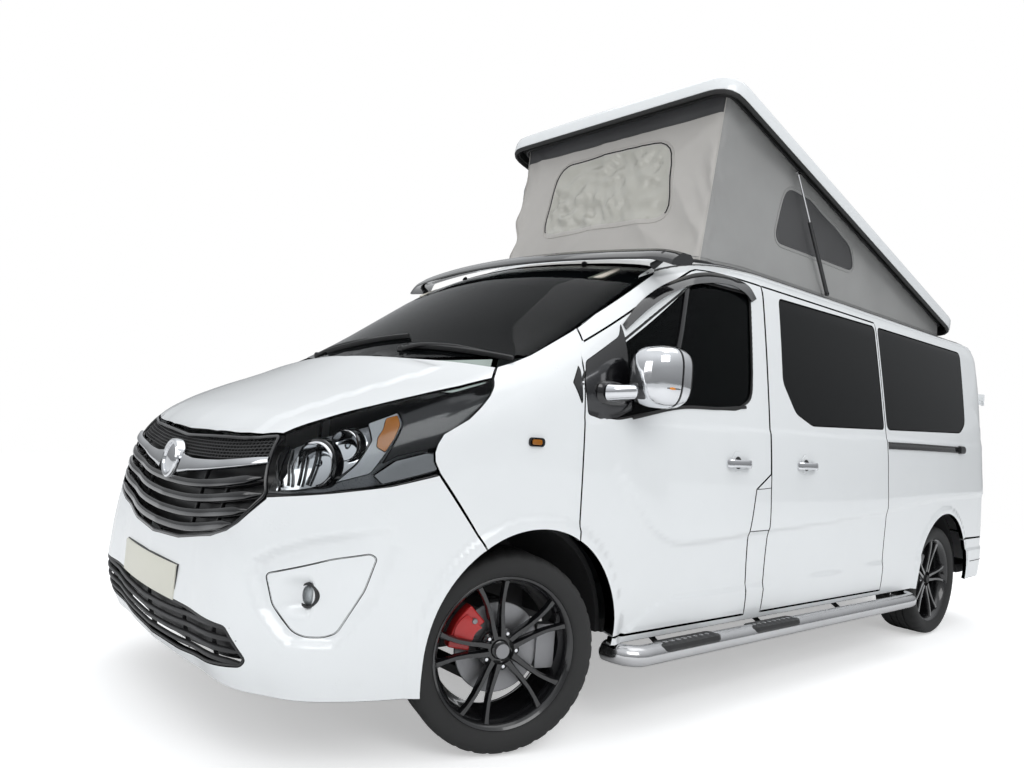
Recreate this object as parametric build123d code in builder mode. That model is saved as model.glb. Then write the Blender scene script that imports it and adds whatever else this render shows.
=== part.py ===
from build123d import *
import os
from math import cos, sin, radians, degrees, atan2, hypot

os.makedirs("parts", exist_ok=True)

# Overall sizes of the van, in millimetres; X forward, Y left, Z up, origin on the ground mid-length
front_overhang = 933
wheelbase = 3498
rear_overhang = 967
width = 1956
roof_height = 1971
tyre_radius = 332
tyre_width = 235
rim_radius = 256
wheel_inset = 178
arch_radius = 400
arch_centre_z = 350

# Walls, skins and clearances
wall = 60
skin = 25
glass = 6
door_gap = 5
roof_wall = 40
sill_z = 315
door_bottom_z = 350
door_top_drop = 145
floor_z = door_bottom_z
floor_thickness = 50

# Raised sleeping roof
roof_inset = 196
roof_length = 2920
roof_raise = 15.2
roof_rim = 25
roof_edge_high = 66
roof_crown = 112

# Stance and steering
steer_at_rest = -18
kingpin_inset = 55
toe_clear = 1

# Holes for a tow bar, on the underside of the rails
tow_hole_radius, tow_hole_step = 6.5, 180

length = front_overhang + wheelbase + rear_overhang
half_length = length / 2
half_width = width / 2
wheel_centre_y = half_width - wheel_inset
kingpin_y = wheel_centre_y - kingpin_inset
arch_inner_y = wheel_centre_y - 320
rear_inner_y = wheel_centre_y - 180
roof_half_width = half_width - roof_inset
nose_x = half_length
tail_x = -half_length
front_axle_x = nose_x - front_overhang
rear_axle_x = front_axle_x - wheelbase

# Lengthwise stations
lead_x = nose_x - 71
cowl_x = front_axle_x + 274
header_x = front_axle_x - 577
door_front_x = front_axle_x - 166
door_split_x = front_axle_x - 1391
slider_rear_x = door_split_x - 1220
roof_hinge_x = tail_x + 519
tail_top_x = tail_x + 139
bumper_joint_x = front_axle_x + 355

# Heights along the nose, screen and roof
lead_z = 994
cowl_z = 1262
header_z = roof_height - 131
gutter_z = roof_height - 66
shoulder_z = roof_height - 181
door_top_z = roof_height - door_top_drop
hinge_z = roof_height + 4
belt_z = 900
lamp_low_z, lamp_top_z = 870, 1330
base_z = 240

screen_rise = header_z - cowl_z
crown_y = 0.818 * half_width

sides = (("left", 1), ("right", -1))


def outline(rows):
    """Wire of a closed outline: a row is the end of a line, or an arc's middle and its end."""
    with BuildLine() as path:
        start = rows[0][-2:]
        for row in rows[1:] + rows[:1]:
            if len(row) == 4:
                ThreePointArc(start, row[:2], row[2:])
            else:
                Line(start, row)
            start = row[-2:]
    return path.wires()[0]


def block(plane, rows, amount, direction=None, grow=0):
    """Solid of an outline drawn on a plane, grown or shrunk, and drawn out by an amount."""
    with BuildPart() as result:
        with BuildSketch(plane):
            make_face(outline(rows).edges())
            if grow:
                offset(amount=grow, kind=Kind.INTERSECTION, mode=Mode.REPLACE)
        extrude(amount=amount, dir=direction)
    return result.part


def side_block(rows, y_from, y_to, grow=0):
    """Solid between two lengthwise planes, from an outline in X and Z."""
    return block(Plane.XZ.offset(-y_from), rows, y_from - y_to, grow=grow)


def front_block(rows, x_from, x_to, grow=0):
    """Solid between two cross planes, from an outline in Y and Z."""
    return block(Plane.YZ.offset(x_from), rows, x_to - x_from, grow=grow)


def plan_block(rows, z_from, z_to, grow=0):
    """Solid between two heights, from an outline in X and Y."""
    return block(Plane.XY.offset(z_from), rows, z_to - z_from, grow=grow)


def box(x_from, x_to, y_from, y_to, z_from, z_to):
    """Square-edged solid between two corners."""
    rows = [(x_from, y_from), (x_to, y_from), (x_to, y_to), (x_from, y_to)]
    return plan_block(rows, z_from, z_to)


def cross_form(inset):
    """Upright section of the body, drawn out along its whole length."""
    lean = half_width - 123
    half = [
        (0, base_z + inset),
        (half_width - 70 - inset * 0.7, base_z + inset),
        (half_width - 26 - inset, max(sill_z + 20, base_z + inset + 15)),
        (half_width - 9 - inset, 610, half_width - inset, belt_z),
        (half_width - 50 - inset, (belt_z + shoulder_z) / 2, lean - inset, shoulder_z),
        (half_width - 146 - inset * 0.8, gutter_z - 45 - inset * 0.6, half_width - 203 - inset * 0.4, gutter_z - inset),
        (half_width * 0.4, roof_height - 15 - inset, 0, roof_height + 2 - inset),
    ]
    with BuildPart() as form:
        with BuildSketch(Plane.YZ.offset(tail_x - 100)):
            with BuildLine():
                start = half[0]
                for row in half[1:]:
                    if len(row) == 4:
                        ThreePointArc(start, row[:2], row[2:])
                    else:
                        Line(start, row)
                    start = row[-2:]
                mirror(about=Plane.YZ)
            make_face()
        extrude(amount=length + 200)
    return form.part


def side_form(inset):
    """Outline of the body seen from the side, drawn out across it."""
    rows = [
        (nose_x - 60 - inset, base_z + inset),
        (nose_x - inset, sill_z + 85),
        (nose_x - inset, header_z - 390),
        (header_x - inset * 0.3, header_z + 3 - inset),
        (front_axle_x - 1000, roof_height - 45 - inset, front_axle_x - 1466, roof_height - inset),
        (tail_x + 370, roof_height - inset),
        (tail_x + 230 + inset * 0.5, roof_height - 21 - inset, tail_top_x + inset, roof_height - 91 - inset * 0.5),
        (tail_x + 29 + inset, 1050),
        (tail_x + inset, 700),
        (tail_x + inset, 420),
        (tail_x + 60 + inset, base_z + inset),
    ]
    return side_block(rows, -width, width)


def nose_form(inset):
    """Plan curve of the nose, leaning back as it rises."""
    rake = 0.144
    shift = rake * 500
    corner_y, bend_y, flank_y = half_width - 318, half_width - 170, half_width - 63
    rows = [
        (nose_x + shift - inset, 0),
        (nose_x + shift - 18 - inset, corner_y / 2, nose_x + shift - 79 - inset, corner_y - inset * 0.3),
        (nose_x + shift - 225 - inset * 0.8, bend_y - inset * 0.7, nose_x + shift - 549 - inset * 0.3, flank_y - inset),
        (front_axle_x + shift + 104, half_width - 22 - inset, front_axle_x + shift - 166, half_width + 2 - inset),
        (front_axle_x - 600, width),
        (tail_x - 500, width),
        (tail_x - 500, -width),
        (front_axle_x - 600, -width),
        (front_axle_x + shift - 166, -half_width - 2 + inset),
        (front_axle_x + shift + 104, -half_width + 22 + inset, nose_x + shift - 549 - inset * 0.3, -flank_y + inset),
        (nose_x + shift - 225 - inset * 0.8, -bend_y + inset * 0.7, nose_x + shift - 79 - inset, -corner_y + inset * 0.3),
    ]
    rows[0] = (nose_x + shift - 18 - inset, -corner_y / 2, nose_x + shift - inset, 0)
    return block(Plane.XY, rows, roof_height + 200, (-rake, 0, 1))


def tail_form(inset):
    """Plan curve of the tail."""
    half = [
        (tail_x + inset, 0),
        (tail_x + 9 + inset, half_width * 0.4, tail_x + 49 + inset, half_width - 228 - inset * 0.4),
        (tail_x + 129 + inset * 0.8, half_width - 88 - inset * 0.8, tail_x + 299 + inset * 0.3, half_width - 38 - inset),
        (rear_axle_x, half_width + 12 - inset),
        (front_axle_x - 600, width),
        (nose_x + 500, width),
    ]
    with BuildPart() as form:
        with BuildSketch(Plane.XY.offset(100)):
            with BuildLine():
                start = half[0]
                for row in half[1:]:
                    if len(row) == 4:
                        ThreePointArc(start, row[:2], row[2:])
                    else:
                        Line(start, row)
                    start = row[-2:]
                Line(start, (nose_x + 500, 0))
                mirror(about=Plane.XZ)
            make_face()
        extrude(amount=roof_height)
    return form.part


def slope_solid(x, z, angle, inset, sag, reach):
    """Everything under a surface that rises backwards at an angle, sagging by a height at crown_y."""
    along = (-cos(radians(angle)), 0, sin(radians(angle)))
    plane = Plane(origin=(x - reach * along[0], 0, z - reach * along[2]), x_dir=(0, 1, 0), z_dir=along)
    up = 1 if plane.y_dir.Z > 0 else -1
    edge_drop = sag * (width / crown_y) ** 2
    rows = [
        (-width, up * (-edge_drop - inset - 4600)),
        (width, up * (-edge_drop - inset - 4600)),
        (width, up * (-edge_drop - inset)),
        (0, -up * inset, -width, up * (-edge_drop - inset)),
    ]
    return block(plane, rows, reach + 4200)


def body_form(inset):
    """The whole body inside its skin, moved inwards by an inset."""
    rise = degrees(atan2(cowl_z - lead_z, lead_x - cowl_x))
    screen = degrees(atan2(header_z - cowl_z, cowl_x - header_x))
    with BuildPart() as form:
        add(slope_solid(lead_x, lead_z, rise, inset, 52, 1500))
        add(slope_solid(cowl_x, cowl_z, screen, inset, 105, 1900))
        add(cross_form(inset), mode=Mode.INTERSECT)
        add(side_form(inset), mode=Mode.INTERSECT)
        add(nose_form(inset), mode=Mode.INTERSECT)
        add(tail_form(inset), mode=Mode.INTERSECT)
    return form.part


def ring(plane, low, high, outer_radius, inner_radius=0):
    """Disc or ring between two distances along a plane's normal."""
    with BuildPart() as disc:
        with BuildSketch(plane.offset(low)):
            Circle(outer_radius)
            if inner_radius:
                Circle(inner_radius, mode=Mode.SUBTRACT)
        extrude(amount=high - low)
    return disc.part


def cross_pin(x, z, radius, y_from, y_to):
    """Round pin lying across the van."""
    with BuildPart() as pin:
        with BuildSketch(Plane.XZ.offset(-y_from)):
            with Locations((x, z)):
                Circle(radius)
        extrude(amount=y_from - y_to)
    return pin.part


def arch_cut(axle_x, y_from, y_to, radius):
    """Round cut of a wheel arch, open below, on the left side."""
    rows = [
        (axle_x - radius, 0),
        (axle_x - radius, arch_centre_z),
        (axle_x, arch_centre_z + radius, axle_x + radius, arch_centre_z),
        (axle_x + radius, 0),
    ]
    return side_block(rows, y_from, y_to)


def flip(shape):
    """The same solid on the other side of the van."""
    return shape.mirror(Plane.XZ)


def save(shape, name):
    shape.label = name
    export_step(shape, "parts/" + name + ".step")


outer = body_form(0)
wall_shell = outer - body_form(wall)
skin_shell = outer - body_form(skin)
roof_shell_band = outer - body_form(roof_wall)
glass_shell = body_form(3) - body_form(3 + glass)
half = box(tail_x - 10, nose_x + 10, 0, width, 0, roof_height + 10)

# Outlines in side view: X and Z
door_rows = [
    (door_front_x - 25, door_bottom_z),
    (door_front_x - 8, 1000, door_front_x - 22, 1390),
    (door_front_x - 760, door_top_z - 10),
    (door_split_x - 28, door_top_z),
    (door_split_x - 2, 1160),
    (door_split_x, 960),
    (door_split_x + 115, 893),
    (door_split_x + 155, 711),
    (door_split_x + 128, door_bottom_z),
]
slider_rows = [
    (door_split_x - door_gap, door_bottom_z),
    (door_split_x - door_gap, 960),
    (door_split_x - 2 - door_gap, 1160),
    (door_split_x - 28 - door_gap, door_top_z),
    (slider_rear_x, door_top_z),
    (slider_rear_x, door_bottom_z),
]
door_window_rows = [
    (door_front_x - 160, 1337),
    (door_front_x - 738, door_top_z - 66),
    (door_split_x + 82, door_top_z - 58),
    (door_split_x + 118, 1330),
    (door_split_x + 152, 1262, door_split_x + 235, 1238),
    (door_front_x - 430, 1200),
    (door_front_x - 160, 1140),
]
slider_window_rows = [
    (door_split_x - 172, door_top_z - 39),
    (door_split_x - 150, 1390),
    (door_split_x - 250, 1250),
    (door_split_x - 400, 1200),
    (slider_rear_x + 22, 1228),
    (slider_rear_x + 22, door_top_z - 26),
]
quarter_window_rows = [
    (slider_rear_x - 22, door_top_z - 25),
    (slider_rear_x - 22, 1229),
    (rear_axle_x - 230, 1268),
    (rear_axle_x - 330, 1330),
    (rear_axle_x - 385, door_top_z - 20),
]
bumper_rows = [
    (nose_x + 50, base_z - 20),
    (nose_x + 50, 815),
    (lead_x - 30, 818),
    (front_axle_x + 560, 850),
    (bumper_joint_x, 912),
    (front_axle_x + 150, 700),
    (front_axle_x + 150, base_z - 20),
]
lamp_rows = [
    (nose_x + 50, 815),
    (nose_x + 50, 1040),
    (lead_x - 65, 1030),
    (front_axle_x + 160, 1268),
    (front_axle_x + 60, 1268),
    (front_axle_x + 240, 1110),
    (bumper_joint_x, 912),
    (front_axle_x + 560, 850),
    (lead_x - 30, 818),
]
wing_rows = [
    (door_front_x, door_bottom_z),
    (door_front_x, 1330),
    (cowl_x + 30, 1330),
    (nose_x + 50, 1100),
    (nose_x + 50, base_z - 20),
    (front_axle_x, base_z - 20),
]

# Outlines from above and from the front
bonnet_y = half_width - 200
grille_y = half_width - 548
screen_y = half_width - 156
tail_y = half_width - 148
bonnet_rows = [
    (nose_x + 30, -grille_y),
    (nose_x + 30, grille_y),
    (lead_x - 50, grille_y + 130),
    (lead_x - 250, bonnet_y - 62),
    (front_axle_x + 96, bonnet_y),
    (cowl_x - 90, grille_y - 10),
    (cowl_x - 32, 0, cowl_x - 90, 10 - grille_y),
    (front_axle_x + 96, -bonnet_y),
    (lead_x - 250, 62 - bonnet_y),
    (lead_x - 50, -grille_y - 130),
]
screen_rows = [
    (0, cowl_z + 0.0554 * screen_rise, screen_y - 122, cowl_z + 0.1038 * screen_rise),
    (screen_y, cowl_z + 0.1246 * screen_rise),
    (screen_y - 34, header_z - 88),
    (screen_y - 70, header_z - 58),
    (0, header_z - 14, 70 - screen_y, header_z - 58),
    (34 - screen_y, header_z - 88),
    (-screen_y, cowl_z + 0.1246 * screen_rise),
    (122 - screen_y, cowl_z + 0.1038 * screen_rise),
]

rear_door_rows = [
    (-tail_y, 585),
    (tail_y, 585),
    (tail_y, roof_height - 231),
    (tail_y - 30, roof_height - 129),
    (30 - tail_y, roof_height - 129),
    (-tail_y, roof_height - 231),
]
pane_top = roof_height - 231
rear_window_rows = [(75, 1235), (tail_y - 85, 1235), (tail_y - 102, pane_top), (75, pane_top)]
rear_bumper_rows = [
    (rear_axle_x, sill_z - 1),
    (rear_axle_x - 340, 585),
    (tail_x - 20, 585),
    (tail_x - 20, sill_z - 1),
]

wall_y = half_width - 378
bonnet_cut = plan_block(bonnet_rows, lead_z - 45, header_z)
bumper_cut = side_block(bumper_rows, -width, width)
mouth_y = half_width - 332
grille_half = [(mouth_y - 71, 735), (mouth_y, 825), (mouth_y - 42, 936), (mouth_y - 72, 1000), (mouth_y - 72, 1040)]
grille_rows = [(0, 622, mouth_y - 115, 706)] + grille_half
grille_rows = grille_rows + [(-y, z) for y, z in reversed(grille_half)] + [(115 - mouth_y, 706)]
grille_cut = front_block(grille_rows, nose_x - 260, nose_x + 50)
lamp_cut = side_block(lamp_rows, -width, width) - grille_cut
air_rows = [
    (mouth_y - 46, 438),
    (0, 445, 46 - mouth_y, 438),
    (14 - mouth_y, 352),
    (14 - mouth_y, 330),
    (0, 272, mouth_y - 14, 330),
    (mouth_y - 14, 352),
]
air_cut = front_block(air_rows, nose_x - 210, nose_x + 50)
wing_cut = side_block(wing_rows, -width, width)
screen_cut = front_block(screen_rows, 700, cowl_x + 100)
scuttle_cut = box(cowl_x - 330, cowl_x + 10, -bonnet_y - 12, bonnet_y + 12, cowl_z - 112, cowl_z + 0.2388 * screen_rise)
door_cut = side_block(door_rows, wall_y, width)
door_body = side_block(door_rows, wall_y, width, -door_gap)
slider_cut = side_block(slider_rows, wall_y, width)
door_window = side_block(door_window_rows, wall_y, width)
slider_window = side_block(slider_window_rows, wall_y, width)
quarter_window = side_block(quarter_window_rows, wall_y, width)
rear_door_cut = front_block(rear_door_rows, tail_x - 20, tail_x + 260)
rear_door_body = front_block(rear_door_rows, tail_x - 20, tail_x + 260, -door_gap)
rear_window = front_block(rear_window_rows, tail_x - 20, tail_x + 260)
rear_bumper_cut = side_block(rear_bumper_rows, -width, width)
tail_lamp_cut = box(tail_x - 20, tail_x + 260, tail_y + 6, width, lamp_low_z, lamp_top_z)
roof_y = half_width - 193
roof_cut = box(tail_x - 20, header_x + 90, -roof_y, roof_y, shoulder_z, roof_height + 20)
front_arch = arch_cut(front_axle_x, arch_inner_y, width, arch_radius)
rear_arch = arch_cut(rear_axle_x, rear_inner_y, width, arch_radius)
arches = front_arch + flip(front_arch) + rear_arch + flip(rear_arch)
low_cut = box(tail_x - 20, nose_x, -width, width, 0, sill_z)
floor_cut = box(tail_x - 20, nose_x, -half_width + 110, half_width - 110, 0, 420)

# Front panels; the fixed ones share their edges with their neighbours
bonnet = skin_shell & plan_block(bonnet_rows, lead_z - 40, header_z, -door_gap)
bonnet_hinge = (cowl_x - 160, cowl_z - 101.2 + 160 * screen_rise / (cowl_x - header_x))
hinge_pin = cross_pin(*bonnet_hinge, 5, bonnet_y - 23, bonnet_y + 10)
hinge_bore = cross_pin(*bonnet_hinge, 5 + toe_clear, bonnet_y - 23, bonnet_y + 22)
save(bonnet + hinge_pin + flip(hinge_pin), "bonnet")
bumper = (outer - body_form(roof_wall)) & bumper_cut
bumper = bumper - arches - grille_cut - air_cut - bonnet_cut
save(bumper, "front_bumper")
grilles = (body_form(20) - body_form(wall)) & (grille_cut + air_cut)
save(grilles - bonnet_cut, "grilles")
lamps = (outer - body_form(90)) & lamp_cut
save(lamps - bonnet_cut - grille_cut - scuttle_cut, "headlamps")
scuttle = (skin_shell & scuttle_cut) - bonnet_cut - screen_cut - hinge_bore - flip(hinge_bore)
side_strip = box(0, nose_x, bonnet_y + 0.5, bonnet_y + 12, 0, header_z)
side_strips = side_strip + flip(side_strip)
scuttle = scuttle - plan_block(bonnet_rows, lead_z - 40, header_z, 24) + (scuttle & side_strips)
save(scuttle, "scuttle")
wings = (skin_shell & wing_cut) - bonnet_cut - bumper_cut - lamp_cut - grille_cut
wings = wings - arches - low_cut - scuttle_cut - screen_cut - side_block(door_rows, -width, width)
wings = wings - hinge_bore - flip(hinge_bore)
save(wings, "front_wings")
windscreen = glass_shell & screen_cut
save(windscreen, "windscreen")

# Fixed side, one each side, with its sill, pillars, windows' holes and rear quarter
side = (wall_shell & half) - wing_cut - scuttle_cut - bumper_cut - lamp_cut - screen_cut - door_cut
side = side - arches - low_cut - floor_cut - roof_cut - rear_door_cut - rear_bumper_cut
side = side - tail_lamp_cut - quarter_window
sill_form = body_form(door_gap + wall)
post = (sill_form - body_form(door_gap + wall + 45)) & half
post = post & box(door_split_x - 50, door_split_x + 50, 0, width, door_bottom_z, roof_height - 91)
sill = (outer - body_form(110)) & box(tail_x + 100, front_axle_x, half_width - 110, width, sill_z, door_bottom_z)
sill = sill - arches - rear_bumper_cut
side_left = (side - slider_cut) + post + sill
side_right = (side - slider_window) + post + sill
slider = (wall_shell & slider_cut) - slider_window - low_cut
save(slider, "sliding_door")

# Fixed glass of both sides
fixed_glass = glass_shell & half & (quarter_window + slider_window)
save(fixed_glass + flip(fixed_glass), "side_windows")

# Rear panels
rear_wall = (wall_shell & rear_door_body) - (body_form(skin) & box(tail_x, 0, -9, 9, 0, roof_height))
rear_split = 11
rear_hinge = (tail_x + 90, tail_y + 18)
hinge_heights = (690, roof_height - 451)


def barrel(z_from, z_to, leaf_y):
    """Upright hinge barrel with its leaf, on the left."""
    plane = Plane(origin=(*rear_hinge, 0))
    low_y, high_y = sorted((leaf_y, rear_hinge[1]))
    leaf = box(rear_hinge[0] - 6, rear_hinge[0] + 14, low_y, high_y, z_from, z_to)
    return leaf + ring(plane, z_from, z_to, 9)


door_barrels = barrel(hinge_heights[0], hinge_heights[0] + 50, tail_y - 20)
door_barrels = door_barrels + barrel(hinge_heights[1], hinge_heights[1] + 50, tail_y - 20)
body_barrels = barrel(hinge_heights[0] - 31, hinge_heights[0] - 1, tail_y + 40)
body_barrels = body_barrels + barrel(hinge_heights[1] - 31, hinge_heights[1] - 1, tail_y + 40)
for z in hinge_heights:
    pocket = box(rear_hinge[0] - 40, rear_hinge[0] + 17, tail_y - 1, tail_y + 30, z - 1, z + 51)
    side_left = side_left - pocket
    side_right = side_right - pocket
for name, sign in sides:
    part = (rear_wall & box(tail_x - 20, 0, rear_split / 2, width, 0, roof_height)) - rear_window
    part = part + door_barrels
    pane = glass_shell & rear_window
    save(part if sign > 0 else flip(part), "rear_door_" + name)
    save(pane if sign > 0 else flip(pane), "rear_glass_" + name)
save(side_left + body_barrels, "body_side_left")
save(flip(side_right + body_barrels), "body_side_right")
rear_bumper = ((outer - body_form(roof_wall)) & rear_bumper_cut) - arches
save(rear_bumper - floor_cut, "rear_bumper")
tail_lamp = ((outer - body_form(50)) & tail_lamp_cut) - rear_door_cut
save(tail_lamp + flip(tail_lamp), "tail_lamps")

# Cab doors
cab_door = ((wall_shell & door_body) - door_window - arches)
cab_glass = glass_shell & door_window
for name, sign in sides:
    save(cab_door if sign > 0 else flip(cab_door), "cab_door_" + name)
    save(cab_glass if sign > 0 else flip(cab_glass), "cab_glass_" + name)

# Roof over the cab and round the sleeping opening, with the low fairing ahead of the raised roof
roof = roof_shell_band & roof_cut
roof = roof - screen_cut - rear_door_cut
roof = roof - box(rear_axle_x + 30, header_x - 640, 175 - roof_y, roof_y - 175, shoulder_z - 60, roof_height + 100)
fairing_rows = [
    (header_x - 290, roof_height - 121),
    (header_x - 455, roof_height + 11),
    (header_x - 459, roof_height + 11),
    (header_x - 459, roof_height - 121),
]
fairing = side_block(fairing_rows, 95 - roof_y, roof_y - 95) - body_form(roof_wall)

# Raised roof, canvas and gas struts share the rear hinge line
lift = radians(roof_raise)
roof_plane = Plane(origin=(roof_hinge_x, 0, hinge_z), x_dir=(cos(lift), 0, sin(lift)), z_dir=(-sin(lift), 0, cos(lift)))


def raised(x, z):
    """Where a point of the closed roof stands with the roof up."""
    dx, dz = x - roof_hinge_x, z - hinge_z
    return (roof_hinge_x + dx * cos(lift) - dz * sin(lift), hinge_z + dx * sin(lift) + dz * cos(lift))


def roof_body(inset, low=-45):
    """The closed roof's crowned form, drawn on the raised plane."""
    front, back = roof_length - 30 - inset, -30 + inset
    edge = roof_half_width - inset
    with BuildPart() as form:
        with BuildSketch(roof_plane.offset(low)):
            with Locations(((front + back) / 2, 0)):
                RectangleRounded(front - back, 2 * edge, 130)
        extrude(amount=roof_crown + 40 - low)
        across = [(-edge - 10, low - 10), (edge + 10, low - 10), (edge + 10, roof_edge_high - inset)]
        across.append((0, roof_crown - inset, -edge - 10, roof_edge_high - inset))
        cross = Plane(origin=roof_plane.origin, x_dir=(0, 1, 0), z_dir=roof_plane.x_dir)
        flip_z = -1 if cross.y_dir.dot(roof_plane.z_dir) < 0 else 1
        rows = [tuple(value * (flip_z if index % 2 else 1) for index, value in enumerate(row)) for row in across]
        add(block(cross.offset(-200), rows, roof_length + 400), mode=Mode.INTERSECT)
    return form.part


roof_cover = roof_body(0) - (roof_body(roof_rim) + roof_body(roof_rim).translate(roof_plane.z_dir * -roof_crown))
hinge_axis = Axis((roof_hinge_x, 0, hinge_z), (0, -1, 0))
roof_clear = cross_form(-door_gap - 1)
roof_cover = roof_cover - roof_clear - roof_clear.rotate(hinge_axis, roof_raise)

# Canvas wall of the raised roof: an open wedge with a short front
canvas_half_width = roof_half_width - 77
canvas_thickness = 7
canvas_low = gutter_z + 26
canvas_front_x = header_x - 553
front_top = raised(roof_hinge_x + roof_length - 215, hinge_z + 55)
back_top = raised(roof_hinge_x + 62, hinge_z + 55)
canvas_rows = [
    (back_top[0], canvas_low),
    (canvas_front_x, canvas_low),
    front_top,
    back_top,
]
canvas_tube = side_block(canvas_rows, -canvas_half_width, canvas_half_width)
hollow_rows = [
    (back_top[0] + canvas_thickness, canvas_low - 50),
    (canvas_front_x - canvas_thickness, canvas_low - 50),
    (canvas_front_x - canvas_thickness, canvas_low),
    (front_top[0] - canvas_thickness, front_top[1] + 50),
    (back_top[0] + canvas_thickness, back_top[1] + 50),
]
inside = canvas_half_width - canvas_thickness
canvas = canvas_tube - side_block(hollow_rows, -inside, inside) - cross_form(-0.3)
canvas = canvas & roof_body(roof_rim + 0.3, -1200)
save(canvas, "canvas")

# Gas struts beside the canvas
strut_y = roof_half_width - 51
strut_low = (roof_hinge_x + 1690, roof_height - 31)
strut_high = raised(roof_hinge_x + 2145, hinge_z - 30)
strut_angle = atan2(strut_high[1] - strut_low[1], strut_high[0] - strut_low[0])
strut_length = hypot(strut_high[0] - strut_low[0], strut_high[1] - strut_low[1])
tube_radius, rod_radius, tube_length, rod_length = 11, 5, 405, 400
for name, sign in sides:
    along = (cos(strut_angle), 0, sin(strut_angle))
    base = Plane(origin=(strut_low[0], sign * strut_y, strut_low[1]), x_dir=(0, 1, 0), z_dir=along)
    with BuildPart() as strut_tube:
        with BuildSketch(base.offset(10)):
            Circle(tube_radius)
            Circle(rod_radius + 1.5, mode=Mode.SUBTRACT)
        extrude(amount=tube_length)
        with BuildSketch(Plane.XZ.offset(-sign * strut_y - 8)):
            with Locations(strut_low):
                Circle(12)
                Circle(6, mode=Mode.SUBTRACT)
        extrude(amount=16)
    save(strut_tube.part, "strut_cylinder_" + name)
    with BuildPart() as strut_rod:
        with BuildSketch(base.offset(strut_length - rod_length)):
            Circle(rod_radius)
        extrude(amount=rod_length - 8)
        with BuildSketch(Plane.XZ.offset(-sign * strut_y - 7)):
            with Locations(strut_high):
                Circle(11)
                Circle(5, mode=Mode.SUBTRACT)
        extrude(amount=14)
    save(strut_rod.part, "strut_rod_" + name)


high_pin = cross_pin(*strut_high, 8, strut_y + 7.8, roof_half_width - roof_rim + 2)
low_pin = cross_pin(*strut_low, 5, strut_y - 14, strut_y + 8)
foot = box(strut_low[0] - 12, strut_low[0] + 12, strut_y - 24, strut_y - 13, roof_height - 91, strut_low[1] + 14)
foot = (foot + low_pin) - body_form(roof_wall)
save(roof_cover + high_pin + flip(high_pin), "roof_cover")
save(roof + fairing + foot + flip(foot), "fixed_roof")

# Floor with sills' inner edges, wheel housings, bulkhead and two rails
def housing(axle_x, inner_y, outer_y):
    """Wheel housing of one arch with its closing wall, on the left side."""
    shell = arch_cut(axle_x, inner_y - 20, outer_y, arch_radius + 20) - arch_cut(axle_x, inner_y, width, arch_radius)
    return (shell & body_form(wall)) & box(tail_x, nose_x, 0, width, floor_z, 900)


fire_x = door_front_x - 40
floor = body_form(wall) & box(tail_x + 100, fire_x + 30, -width, width, floor_z, floor_z + floor_thickness)
well = arch_cut(rear_axle_x, rear_inner_y - 20, width, arch_radius + 20)
front_well = arch_cut(front_axle_x, arch_inner_y - 20, width, arch_radius + 20)
rear_housing = housing(rear_axle_x, rear_inner_y, half_width - 98)
front_housing = housing(front_axle_x, arch_inner_y, half_width - 98)
rail = box(rear_axle_x - 700, fire_x, 330, 420, floor_z - 65, floor_z)
for x in (rear_axle_x - 678, rear_axle_x - 678 + tow_hole_step):
    rail = rail - ring(Plane.XY.offset(floor_z - 65).move(Location((x, 375, 0))), 0, 50, tow_hole_radius)
front_rail = box(fire_x - 20, nose_x - 330, 330, 420, floor_z - 65, floor_z + 130)
bulkhead = box(fire_x, fire_x + 30, 138 - half_width, half_width - 138, floor_z, 1130) - front_well - flip(front_well)
slots = box(front_axle_x - 50, front_axle_x + 50, 421, arch_inner_y + 20, 150, 520)
slots = slots + box(rear_axle_x - 90, rear_axle_x + 640, rear_inner_y - 90, rear_inner_y + 20, 150, floor_z + 20)
floor = floor - well - flip(well) - front_well - flip(front_well) - post - flip(post)
beam = box(nose_x - 335, nose_x - 300, 418 - half_width, half_width - 418, floor_z, floor_z + 160)

half_floor = rail + front_rail + rear_housing + front_housing
floor = floor + bulkhead + beam + half_floor + flip(half_floor) - slots - flip(slots)
save(floor, "floor_pan")

# Wheels: each rim and tyre is drawn on a plane at the hub, facing outwards
turn = radians(steer_at_rest)


def hub_plane(axle_x, sign, front):
    """Plane at a wheel's centre, its normal pointing away from the van."""
    if not front:
        return Plane(origin=(axle_x, sign * wheel_centre_y, tyre_radius), x_dir=(sign, 0, 0), z_dir=(0, sign, 0))
    out = (-sign * sin(turn), sign * cos(turn), 0)
    reach = wheel_centre_y - kingpin_y
    origin = (axle_x + out[0] * reach, sign * kingpin_y + out[1] * reach, tyre_radius)
    return Plane(origin=origin, x_dir=(sign * cos(turn), sign * sin(turn), 0), z_dir=out)


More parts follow.
